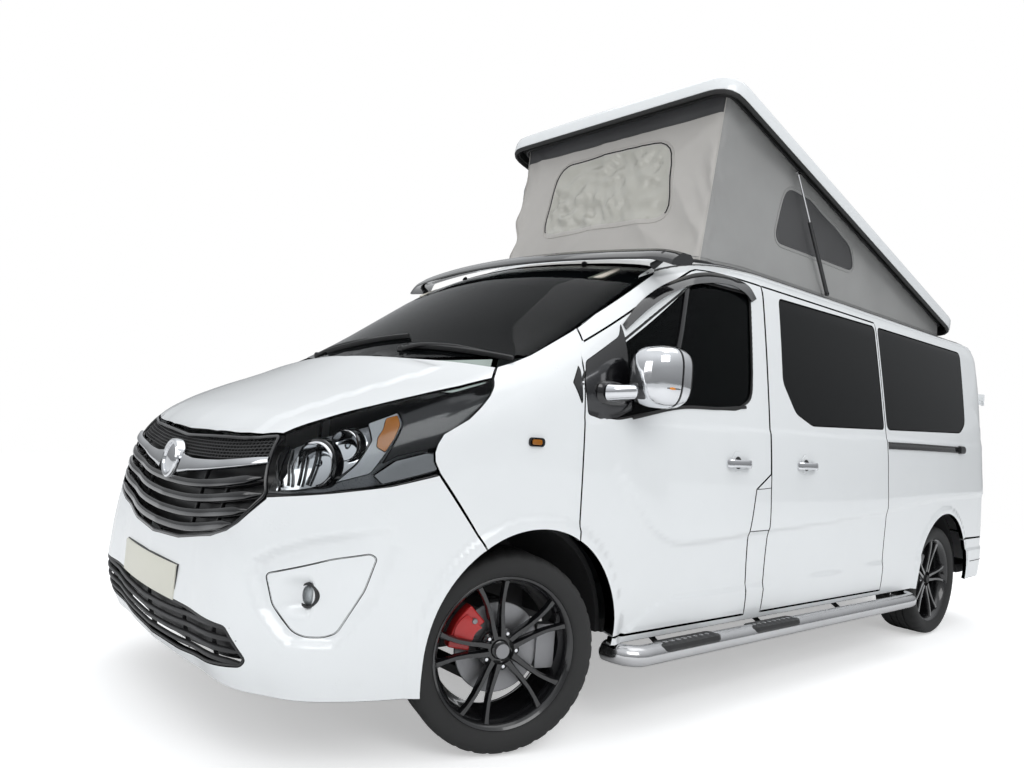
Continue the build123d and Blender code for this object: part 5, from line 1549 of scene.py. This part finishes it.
for group, shut in [(rim, True)] + [(l, True) for l in loops] + [(band, False)] + [(s, False)
    for s in seams]:
    edges += [(start + i, start + (i + 1) % len(group)) for i in range(len(group) if shut else len(group)
            - 1)]
    start += len(group)
flat, _, faces, *_ = geometry.delaunay_2d_cdt([Vector(p) for p in np.concatenate([fixed, fine])], edges, [],
    0, 0.001)
flat, faces = np.array([v[:] for v in flat]), np.array([f[:] for f in faces if len(f) == 3])
centre = flat[faces].mean(1)
keep = inside(centre, rim)
faces, centre = faces[keep], centre[keep]
film_point = inside(flat, grown(FILM, -4))
canvas_look = mesh_object("canvas_wall", canvas_at(flat[:, 0], flat[:, 1], 0, film_point), faces, "canvas")
for key in ("canvas_painted_light", "film", "mesh", "trim"):
    canvas_look.data.materials.append(LOOK[key])
# the sides take the darker canvas, painted shade, and the front the lighter canvas, painted light
front = (centre[:, 0] > CORNERS[0]) & (centre[:, 0] < CORNERS[1])
# faces in the top band take the dark trim grey as a painted shadow of the roof's front edge
kind = np.where(front, np.where(centre[:, 1] > along(centre[:, 0], TALL) - PAINTED_SHADOW_BAND, 4, 1), 0)
kind[inside(centre, loops[0])] = 2
kind[inside(centre, loops[1]) | inside(centre, loops[2])] = 3
canvas_look.data.polygons.foreach_set("material_index", kind.astype(np.int32))
if canvas_look.data.polygons[0].normal.y > 0:
    canvas_look.data.flip_normals()
cover = canvas_look.modifiers.new("thick", "SOLIDIFY")
cover.thickness, cover.offset = 0.0012, -1


def cord_on(name, path, radius, key, out=1.5, sides=8):
    path = np.asarray(path, float)
    return tube(name, canvas_at(path[:, 0], path[:, 1], out), radius, key, sides)


half_zip = closed(resampled(grown(FILM, 9), 12))
half_zip = half_zip[half_zip[:, 1] > 250]
order = np.argsort(np.arctan2(half_zip[:, 1] - 250, half_zip[:, 0] - middle))
trims = [cord_on("zip", half_zip[order], 3.2, "seal"), cord_on("piping",
        closed(resampled(grown(FILM, 24), 14)), 2.2, "canvas_painted_light")]
for loop in (VENT, VENT_FAR):
    trims.append(cord_on("piping", closed(resampled(grown(loop, 3), 14)), 3.4, "trim"))
    trims.append(cord_on("piping", closed(resampled(grown(loop, 22), 14)), 2, "canvas"))
for c in CORNERS:
    heights = np.linspace(4, along(c, TALL) - 12, 60)
    trims.append(cord_on("corner_seam", np.column_stack([np.full(60, c), heights]), 2.6, "canvas_painted_light"))
hem_line = np.linspace(20, TOTAL - 20, 240)
trims.append(cord_on("hem", np.column_stack([hem_line, np.full(240, 24.0)]), 1.8, "canvas"))
# dark cord along the lower edge of the painted shadow band
trims.append(cord_on("painted_shadow_band_seam", np.column_stack([np.linspace(*CORNERS, 90),
        along(np.linspace(*CORNERS, 90), TALL) - PAINTED_SHADOW_BAND]), 2.0, "trim"))
channel = cord_on("channel", np.column_stack([hem_line, np.full(240, 3.0)]), 7, "black", 3)
place(channel, "body")
trim_piece = join("canvas_trims", trims)
for piece in (canvas_look, trim_piece):
    place(piece, "body", ["canvas"] if piece is canvas_look else ())
    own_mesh(piece)


# Rear


def to_aft(p):
    return np.stack([np.arctan2(p[:, 1], -(p[:, 0] + WRAP_X)) * WRAP_SIZE, p[:, 2]], -1)


def from_aft(q):
    q = np.asarray(q, float)
    a, zero = q[:, 0] / WRAP_SIZE, np.zeros(len(q))
    return shoot(np.stack([zero - WRAP_X, zero, q[:, 1]], -1), np.stack([-np.cos(a), np.sin(a), zero], -1),
        1500)


def aft(rows, count=60):
    """Points of the rear bumper along a path of (wrap, z)."""
    return from_aft(spline(rows, count))


def stern_at(y, z):
    """Local frame on the rear doors, its Z pointing back."""
    return frame_at(from_stern([(y, z)])[0], (0, -1, 0), (-1, 0, 0.02))


WAYS["aft"] = (to_aft, from_aft)
TAIL_DOOR = from_stern(rounded([(6, 588), (828, 588), (828, 1740), (798, 1843), (6, 1843)], 20))
TAIL_PANE = from_stern(rounded([(75, 1235), (745, 1235), (728, 1740), (75, 1740)], 60))
both("rear_door_skin_%s", "stern", [TAIL_DOOR, TAIL_PANE], "paint", "rear_door_%s", "paint_white",
    ["rear_door_%s"], step=(24, 24), thick=42)
glazing("rear_glass", "stern", TAIL_PANE, "rear_door_%s", "glass_dark", "dark", ["rear_glass_%s"], frit=34)

arch_back = arc(*REAR_ARCH, 146, 184, 14)
BUMPER_HALF = on_side([(-2078, 583)] + arch_back + [(-2133, 318)])
BUMPER_AFT = np.concatenate([BUMPER_HALF, from_aft([(a, 317) for a in np.linspace(1025, -1025, 60)]),
        (BUMPER_HALF * mirror_y)[::-1], from_aft([(a, 583) for a in np.linspace(-1075, 1075, 60)])])
place(panel("rear_bumper_skin", "aft", [BUMPER_AFT], "paint", step=(26, 14), thick=20), "body",
    ["rear_bumper"])
extras = [strip("step", behind(aft([(a, 572) for a in np.linspace(-620, 620, 9)]), 0), 34, 5, "black",
        taper=0.04), strip("groove", aft([(a, 432) for a in np.linspace(-960, 960, 9)], 90), 5, 0.8, "seal")]
place(join("bumper_tread", extras), "body")
for y in (-1, 1):
    spot = aft([(y * 640, 398), (y * 760, 398)], 10)
    place(strip("rear_reflector_" + ("left" if y > 0 else "right"), spot, 30, 6, "red", taper=0.06), "body")
for y in (-560, -200, 200, 560):
    spot = from_aft([(y * 1.0, 500)])[0]
    place(lathe("park_sensor_%d" % (y + 600), [(0.01, 3), (9, 3), (11, 1), (11, -2)],
            frame_at(spot, (0, 0, 1), outward(spot[None])[0]), "paint", 24), "body")

# tail lamps: dark bowl, red, amber and clear fields, and a thin lens
LAMP = np.concatenate([from_stern([(840, 874)]), on_side([(-2443, 874), (-2443, 1326)]),
        from_stern([(840, 1326)])])


def lamp_field(low, high, inset=10):
    return np.concatenate([from_stern([(840 + inset, low)]), on_side([(-2443 - inset, low),
            (-2443 - inset, high)]), from_stern([(840 + inset, high)])])


both("tail_lamp_bowl_%s", "stern", [LAMP], "gloss", "body", "plastic_gloss", ["tail_lamps"], step=(10, 16),
    thick=24, sink=14, edge=2, shrink=1)
for tag, low, high, finish_key in (("stop", 1178, 1316, "red"), ("turn", 1100, 1172, "amber"),
    ("reverse", 1028, 1094, "drl"), ("fog", 884, 1022, "red")):
    both("lamp_" + tag + "_%s", "stern", [lamp_field(low, high)], finish_key, "body", "lamp_red", (),
        step=(9, 14), thick=6, sink=5, edge=3, shrink=1)
both("tail_lens_%s", "stern", [LAMP], "lens", "body", "lamp_clear", (), step=(12, 18), thick=3, sink=0,
    edge=2, shrink=1.5)

# hinges, handle, plate recess, plate lamps, wiper and the high lamp
hinges, barrels = [], []
for z, reach in ((690, 30), (1520, 96)):
    at = at_point(-2609, 848, z)
    hinges += [lathe("pin", [(0.01, 50), (8, 50), (9.5, 48), (9.5, 2), (8, 0), (0.01, 0)], at, "paint", 24),
        prism("leaf", [(-5, -46), (-5, 2), (4, 6), (reach, -10), (reach, -46)], 2, 48, at, "paint", 3, 2)]
    low = at_point(-2609, 848, z - 31)
    barrels += [lathe("pin", [(0.01, 30), (8, 30), (9.5, 28), (9.5, 2), (8, 0), (0.01, 0)], low, "paint",
            24), prism("leaf", [(-4, 0), (reach, -4), (reach, 16), (-4, 8)], 2, 28, low, "paint", 3, 2)]
pair(join("rear_hinge_left", hinges), "rear_hinge_%s", "rear_door_%s")
pair(join("rear_barrel_left", barrels), "rear_barrel_%s", "body")
grab = stern_at(96, 1010)
parts = [prism("grab", plaque(78, 34, 20), -6, 10, grab, "black", 4, 3),
    prism("grab", rounded(oblong(-60, -16, 60, 14), 9), 8, 24, grab, "chrome", 5, 3)]
place(join("rear_handle", parts), "rear_door_left")
cover = stern_at(-352, 925)
parts = [prism("plate_frame", plaque(268, 62, 8), -2, 9, cover, "black", 2, 2),
    prism("plate_blank", plaque(260, 55, 6), 7, 12, cover, "plate", 1, 2)]
place(join("rear_plate", parts), "rear_door_right")
hood = stern_at(-352, 1016)
parts = [prism("hood", rounded([(-290, -20), (290, -20), (280, 18), (-280, 18)], 10), -4, 26, hood, "paint",
        6, 3)]
for x in (-130, 130):
    parts.append(prism("plate_lamp", rounded(oblong(x - 26, -23, x + 26, -19), 1), 4, 20, hood, "drl", 0, 1))
place(join("plate_hood", parts), "rear_door_right")
for sign, name in SIDES:
    pivot = stern_at(sign * 130, 1212)
    arm = np.array([(sign * 130, 1212), (sign * 230, 1262), (sign * 420, 1300), (sign * 560, 1312)], float)
    path = from_stern(spline(arm, 20)) + np.array([-16, 0, 0])
    parts = [lathe("knob", [(0.01, 20), (13, 19), (16, 14), (18, 0)], pivot, "black", 24),
        tube("arm", path, np.linspace(7, 3.5, 20), "black", 10), tube("blade",
            from_stern(spline([(sign * 330, 1270), (sign * 500, 1300), (sign * 690, 1322)], 16))
            + np.array([-8, 0, 0]), 4, "seal", 8)]
    place(join("rear_wiper_" + name, parts), "rear_door_" + name)
high = from_stern(spline([(150, 1866), (0, 1868), (-150, 1866)], 20))
place(join("high_lamp", [strip("high_lamp", behind(high, 1), 26, 12, "black", taper=0.1),
        strip("high_lamp", high, 13, 14, "red", taper=0.12)]), "body")
place(join("rear_door_seam", [strip("seam", behind(from_stern([(0, z) for z in np.linspace(592, 1840, 50)]),
        6), 14, 2, "seal")]), "rear_door_left")


# Inside and underneath


def pad_rings(size, crown=0.16, pull=0.03, square=5.0, rings=15, count=64):
    """Rings of a closed cushion about the origin: crowned faces, sides drawn in between the corners."""
    a = circle(count)
    c, s = np.cos(a), np.sin(a)
    u, v = swell(c, 2 / square), swell(s, 2 / square)
    draw = 1 - pull * (1 - np.abs(np.sin(2 * a)) ** 0.6)
    rows = []
    for t in np.linspace(-1, 1, rings):
        w = sin(t * pi / 2)
        reach = (1 - abs(w) ** 4) ** 0.25 if abs(w) < 1 else 0
        reach = 0.80 + 0.20 * reach
        rows.append(np.column_stack([u * draw * size[0] / 2 * reach, v * draw * size[1] / 2 * reach,
                np.full(count, w * size[2] / 2 * (1 - crown))]))
    caps = []
    for k in np.linspace(0.9, 0.04, 9):
        top = rows[-1].copy()
        top[:, :2] *= k
        top[:, 2] += size[2] / 2 * crown * (1 - k ** 2.4)
        caps.append(top)
    low = [ring * np.array([1, 1, -1]) for ring in caps[::-1]]
    return low + rows + caps


def puffed(piece, voxel=14, steps=14, cap=16, pressure=4.0):
    """Fills a pad like foam under a cover: cloth under pressure, with each point's move capped."""
    work = piece.copy()
    work.data = piece.data.copy()
    bpy.context.scene.collection.objects.link(work)
    work.data.remesh_voxel_size = voxel * MM
    remesh = work.modifiers.new("remesh", "REMESH")
    remesh.mode, remesh.voxel_size, remesh.use_smooth_shade = "VOXEL", voxel * MM, True
    deps = bpy.context.evaluated_depsgraph_get()
    work.data = bpy.data.meshes.new_from_object(work.evaluated_get(deps))
    work.modifiers.clear()
    start = np.empty(len(work.data.vertices) * 3)
    work.data.vertices.foreach_get("co", start)
    cloth = work.modifiers.new("cloth", "CLOTH")
    cloth.settings.quality = 4
    cloth.settings.mass = 0.4
    cloth.settings.use_pressure, cloth.settings.uniform_pressure_force = True, pressure
    cloth.settings.tension_stiffness = cloth.settings.compression_stiffness = 12
    cloth.settings.effector_weights.gravity = 0
    for moment in range(1, steps + 1):
        bpy.context.scene.frame_set(moment)
    deps = bpy.context.evaluated_depsgraph_get()
    moved = bpy.data.meshes.new_from_object(work.evaluated_get(deps))
    end = np.empty(len(moved.vertices) * 3)
    moved.vertices.foreach_get("co", end)
    move = (end - start).reshape(-1, 3)
    size = np.maximum(np.linalg.norm(move, axis=1, keepdims=True), 1e-9)
    end = start.reshape(-1, 3) + move / size * np.minimum(size, cap * MM)
    moved.vertices.foreach_set("co", end.ravel())
    bpy.context.scene.frame_set(1)
    material = list(piece.data.materials)
    bpy.data.objects.remove(work)
    piece.data = moved
    if not moved.materials:
        for m in material:
            moved.materials.append(m)
    moved.polygons.foreach_set("use_smooth", [True] * len(moved.polygons))
    return piece


def cushion(name, size, at, body_slot="seat_cloth", replaces=(), seams=(), **settings):
    """One stuffed piece with a piped edge and sewn lines across its face."""
    rings = [put(r, at) for r in pad_rings(size, **settings)]
    piece = puffed(loft(name, rings, "cloth"))
    place(piece, "body", replaces)
    edge = pad_rings(size, **settings)
    mid = edge[len(edge) // 2]
    high = 0.5 * size[2] / 2
    lines = [tube("piping", put(np.concatenate([np.column_stack([mid[:, :2] * 1.0, np.full(len(mid), h)]),
            [[mid[0, 0], mid[0, 1], h]]]), at), 4, "trim", 8) for h in (high, -high)]
    for u in seams:
        v = np.linspace(-0.47, 0.47, 24) * size[1]
        lines.append(tube("seam", put(np.column_stack([np.full(24, u * size[0]), v,
                size[2] / 2 * (1 - 0.10 * (v / size[1] * 2) ** 4) + 3]), at), 3, "trim", 6))
    place(join(name + "_seams", lines), "body")
    return piece


def tilted(x, y, z, degrees):
    """Frame whose X runs backwards and up by an angle, its Z out of the seat's face."""
    t = radians(degrees)
    return np.stack([np.array([-cos(t), 0, sin(t)]), np.array([0, -1.0, 0]), np.array([sin(t), 0, cos(t)])],
        1), np.array([x, y, z], float)


for sign, name in SIDES:
    y = sign * 415
    cushion("seat_base_" + name, (470, 486, 130), tilted(640, y, 700, -4),
        replaces=["front_seats"] if sign > 0 else (), seams=(-0.22, 0.05))
    cushion("seat_back_" + name, (600, 470, 120), tilted(345, y, 1070, 76), seams=(-0.3, 0.0, 0.3))
    cushion("seat_head_" + name, (170, 260, 90), tilted(262, y, 1418, 78))
    posts = [tube("post", [(268, y + d, 1340), (262, y + d, 1390)], 6, "steel", 12) for d in (-60, 60)]
    stand = [prism("seat_box", rounded(oblong(430, y - 200, 860, y + 200), 24), 402, 640, UPRIGHT, "trim",
            6, 3)]
    place(join("seat_stand_" + name, posts + stand), "body")
for k, y in enumerate((60, 450)):
    cushion("bench_base_%d" % k, (560, 372, 120), tilted(-1060, y, 752, -3),
        replaces=["rear_bench"] if k == 0 else (), seams=(-0.2, 0.1))
    cushion("bench_back_%d" % k, (560, 372, 105), tilted(-1345, y, 1090, 80), seams=(-0.25, 0.05))
place(prism("bench_box", rounded(oblong(-1302, -138, -800, 636), 14), 402, 690, UPRIGHT, "wood", 5, 2),
    "body")

# furniture fronts, worktop, sink and hob on the kitchen unit
unit = [prism("worktop", rounded(oblong(-2290, -842, 22, -436), 12), 1108, 1121, UPRIGHT, "wood", 4, 2)]
facing = (np.array([[1, 0, 0], [0, 0, 1], [0, 1, 0]], float), np.array([0, -440.0, 0]))
for x0, x1 in ((-2260, -1700), (-1680, -1120), (-1100, -560), (-540, 5)):
    for z0, z1 in ((420, 800), (820, 1090)):
        unit.append(prism("front", rounded(oblong(x0, z0, x1, z1), 8), 0, 5, facing, "wood", 2, 2))
        unit.append(lathe("knob", [(0.01, 16), (9, 15), (10, 11), (5, 8), (5, 4)],
                (facing[0], facing[1] + np.array([(x0 + x1) / 2, 0, z1 - 36])), "steel", 20))
place(join("furniture_fronts", unit), "body")
sink = [lathe("sink", [(0.01, -88), (120, -86), (142, -70), (150, -4), (158, 2), (166, 1)],
        at_point(-420, -640, 1121), "steel", 48)]
sink.append(tube("tap", spline([(-420, -806, 1120), (-420, -806, 1260), (-420, -770, 1300),
        (-420, -700, 1290), (-420, -690, 1262)], 24), 9, "chrome", 14))
for x, y in ((-130, -560), (-130, -720)):
    sink.append(lathe("burner", [(0.01, 14), (26, 14), (30, 9), (44, 8), (48, 0)], at_point(x, y, 1121),
            "black", 32))
place(join("sink_and_hob", sink), "body")

# dashboard: vents, centre screen, switch panel, dials and a hood ahead of the driver, over the plain form
dash_parts = []
for y in (-680, -240, 240, 680):
    at = frame_at((1232, y, 1080), (0, 1, 0), (-1, 0, 0.25))
    dash_parts.append(lathe("vent", [(0.01, 4), (34, 4), (36, 14), (46, 16), (50, 8), (50, -10)], at,
            "black", 36))
    for d in (-18, 0, 18):
        dash_parts.append(prism("vane", oblong(-32, d - 2, 32, d + 2), 4, 12, at, "gloss", 0, 1))
at = frame_at((1226, 0, 1040), (0, 1, 0), (-1, 0, 0.3))
dash_parts.append(prism("screen", plaque(120, 70, 14), -6, 10, at, "gloss", 3, 3))
at = frame_at((1232, 0, 900), (0, 1, 0), (-1, 0, -0.35))
dash_parts.append(prism("switches", plaque(110, 44, 12), -10, 10, at, "black", 3, 3))
for y in (-64, 0, 64):
    dash_parts.append(lathe("dial", [(0.01, 26), (18, 26), (21, 22), (22, 8)],
            frame_at((1222, y, 896), (0, 1, 0), (-1, 0, -0.35)), "gloss", 30))
hood_rows = []
for x, z, half in ((1300, 1170, 190), (1262, 1196, 186), (1215, 1206, 178), (1180, 1200, 168),
    (1172, 1188, 164)):
    hood_rows.append([(x, -400 + half * u, z - 46 * abs(u) ** 3) for u in np.linspace(-1, 1, 30)]
        + [(x + 6, -400 + half * 0.92 * u, z - 14 - 42 * abs(u) ** 3) for u in np.linspace(1, -1, 30)])
dash_parts.append(loft("hood", hood_rows, "trim"))
place(join("dash_details", dash_parts), "body")
column = frame_at((1010, -400, 1030), (0, 1, 0), (-0.64, 0, 0.768))
steering = [lathe("boss", [(0.01, 16), (40, 14), (58, 4), (62, -8), (50, -26)], column, "trim", 48)]
for a in (0, 180, 270):
    c, s = cos(radians(a)), sin(radians(a))
    steering.append(prism("spoke", [(50 * c - 15 * s, 50 * s + 15 * c), (50 * c + 15 * s, 50 * s - 15 * c),
            (168 * c + 10 * s, 168 * s - 10 * c), (168 * c - 10 * s, 168 * s + 10 * c)], -8, 4, column,
            "trim", 4, 2))
rim_path = put([(175 * cos(t), 175 * sin(t), 0) for t in circle(64)], column)
steering.append(tube("rim", closed(rim_path), 15, "black", 16, ends=False))
place(join("steering_wheel_look", steering), "steering_wheel", ["steering_wheel"])

# inner sun visors and the screen's mirror
for sign, name in SIDES:
    at = frame_at((1180, sign * 470, 1745), (0, 1, 0), (-0.45, 0, -0.9))
    place(prism("inner_visor_" + name, plaque(190, 70, 34), -7, 7, at, "cream", 5, 3), "body")
place(join("inner_mirror", [loft("case", [ring_at(x, 0, 1640, w, h, 3)
        for x, w, h in ((1300, 118, 34), (1304, 122, 37), (1318, 120, 35), (1328, 90, 24))], "black"),
        loft("face", [ring_at(x, 0, 1640, w, h, 3) for x, w, h in ((1301, 112, 30), (1298, 108, 27))],
        "steel"), tube("stalk", [(1326, 0, 1645), (1366, 0, 1672), (1392, 0, 1690)], 8, "black", 10)]),
    "body")

# finishes of the solids that stay as they are
SOLID_LOOKS = {"floor_pan": "chassis", "suspension": "chassis", "engine_block": "cast",
    "fuel_tank": "chassis", "exhaust": "cast", "dashboard": "trim", "kitchen_unit": "wood",
    "knuckle_left": "cast", "knuckle_right": "cast", "strut_cylinder_left": "strut",
    "strut_cylinder_right": "strut", "strut_rod_left": "rod", "strut_rod_right": "rod"}
for node, key in SOLID_LOOKS.items():
    mesh = nodes[node].data
    mesh.materials.clear()
    mesh.materials.append(LOOK[key])


# Stage, light and camera


def area(name, place_at, target, size, power, color=(1, 1, 1)):
    data = bpy.data.lights.new(name, "AREA")
    data.shape, data.size, data.size_y = "RECTANGLE", size[0], size[1]
    data.energy, data.color = power, color
    light = new_object(name, data)
    light.location = place_at
    light.rotation_euler = (Vector(target) - Vector(place_at)).to_track_quat("-Z", "Y").to_euler()
    return light


floor = mesh_object("stage_floor", [(-60000, -60000, -1), (60000, -60000, -1), (60000, 60000, -1),
        (-60000, 60000, -1)], [(0, 1, 2, 3)], "stage")
tree = LOOK["stage"].node_tree
lit = tree.nodes["Principled BSDF"]
seen_by = tree.nodes.new("ShaderNodeLightPath")
lift = add(tree, "ShaderNodeEmission", Color=(1, 1, 1, 1), Strength=number(tree, "MULTIPLY",
        seen_by.outputs["Is Camera Ray"], 0.42))
total = tree.nodes.new("ShaderNodeAddShader")
tree.links.new(lit.outputs[0], total.inputs[0])
tree.links.new(lift.outputs[0], total.inputs[1])
far = add(tree, "ShaderNodeVectorMath", {"operation": "LENGTH"})
tree.links.new(add(tree, "ShaderNodeTexCoord").outputs["Object"], far.inputs[0])
fade = add(tree, "ShaderNodeMapRange", Value=far.outputs["Value"], From_Min=5.0, From_Max=11.0)
white = add(tree, "ShaderNodeEmission", Color=(1, 1, 1, 1), Strength=1.0)
ground = add(tree, "ShaderNodeMixShader", {}, Fac=number(tree, "MULTIPLY", fade.outputs[0],
        seen_by.outputs["Is Camera Ray"]))
tree.links.new(total.outputs[0], ground.inputs[1])
tree.links.new(white.outputs[0], ground.inputs[2])
tree.links.new(ground.outputs[0], tree.nodes["Material Output"].inputs[0])
scene = bpy.context.scene
world = bpy.data.worlds.new("studio") if not scene.world else scene.world
scene.world = world
world.use_nodes = True
tree = world.node_tree
tree.nodes.clear()
path = tree.nodes.new("ShaderNodeLightPath")
seen = add(tree, "ShaderNodeBackground", Color=(1, 1, 1, 1), Strength=1.0)
sky = add(tree, "ShaderNodeTexCoord")
high = add(tree, "ShaderNodeSeparateXYZ", Vector=sky.outputs["Generated"])
band = add(tree, "ShaderNodeMapRange", Value=high.outputs["Z"], From_Min=-0.1, From_Max=0.75, To_Min=0.16,
    To_Max=0.95)
soft = add(tree, "ShaderNodeBackground", Color=(0.95, 0.975, 1, 1), Strength=band.outputs[0])
mixer = add(tree, "ShaderNodeMixShader", {}, Fac=path.outputs["Is Camera Ray"])
tree.links.new(soft.outputs[0], mixer.inputs[1])
tree.links.new(seen.outputs[0], mixer.inputs[2])
tree.links.new(mixer.outputs[0], add(tree, "ShaderNodeOutputWorld").inputs[0])
area("key", (3.5, 7.5, 6.5), (0, 0, 0.8), (6, 4), 215)
area("fill", (9.0, -1.5, 3.6), (1.5, 0, 0.8), (5, 3), 80)
area("top", (-1, 0, 8.0), (0, 0, 0), (9, 6), 130)

camera_data = bpy.data.cameras.new("photo_camera")
camera_data.lens, camera_data.sensor_width = 27.80, 36.0
camera_data.clip_end = 200
camera = new_object("photo_camera", camera_data)
right_axis, up_axis, ahead = Vector((-0.7458, 0.6608, 0.0846)), Vector((0.0939, -0.0214,
        0.9954)), Vector((-0.6595, -0.7503, 0.0461))
camera.matrix_world = Matrix(((right_axis.x, up_axis.x, -ahead.x, 3.609),
        (right_axis.y, up_axis.y, -ahead.y, 2.853), (right_axis.z, up_axis.z, -ahead.z, 1.102),
        (0, 0, 0, 1)))
scene.camera = camera
scene.view_settings.view_transform = "Standard"
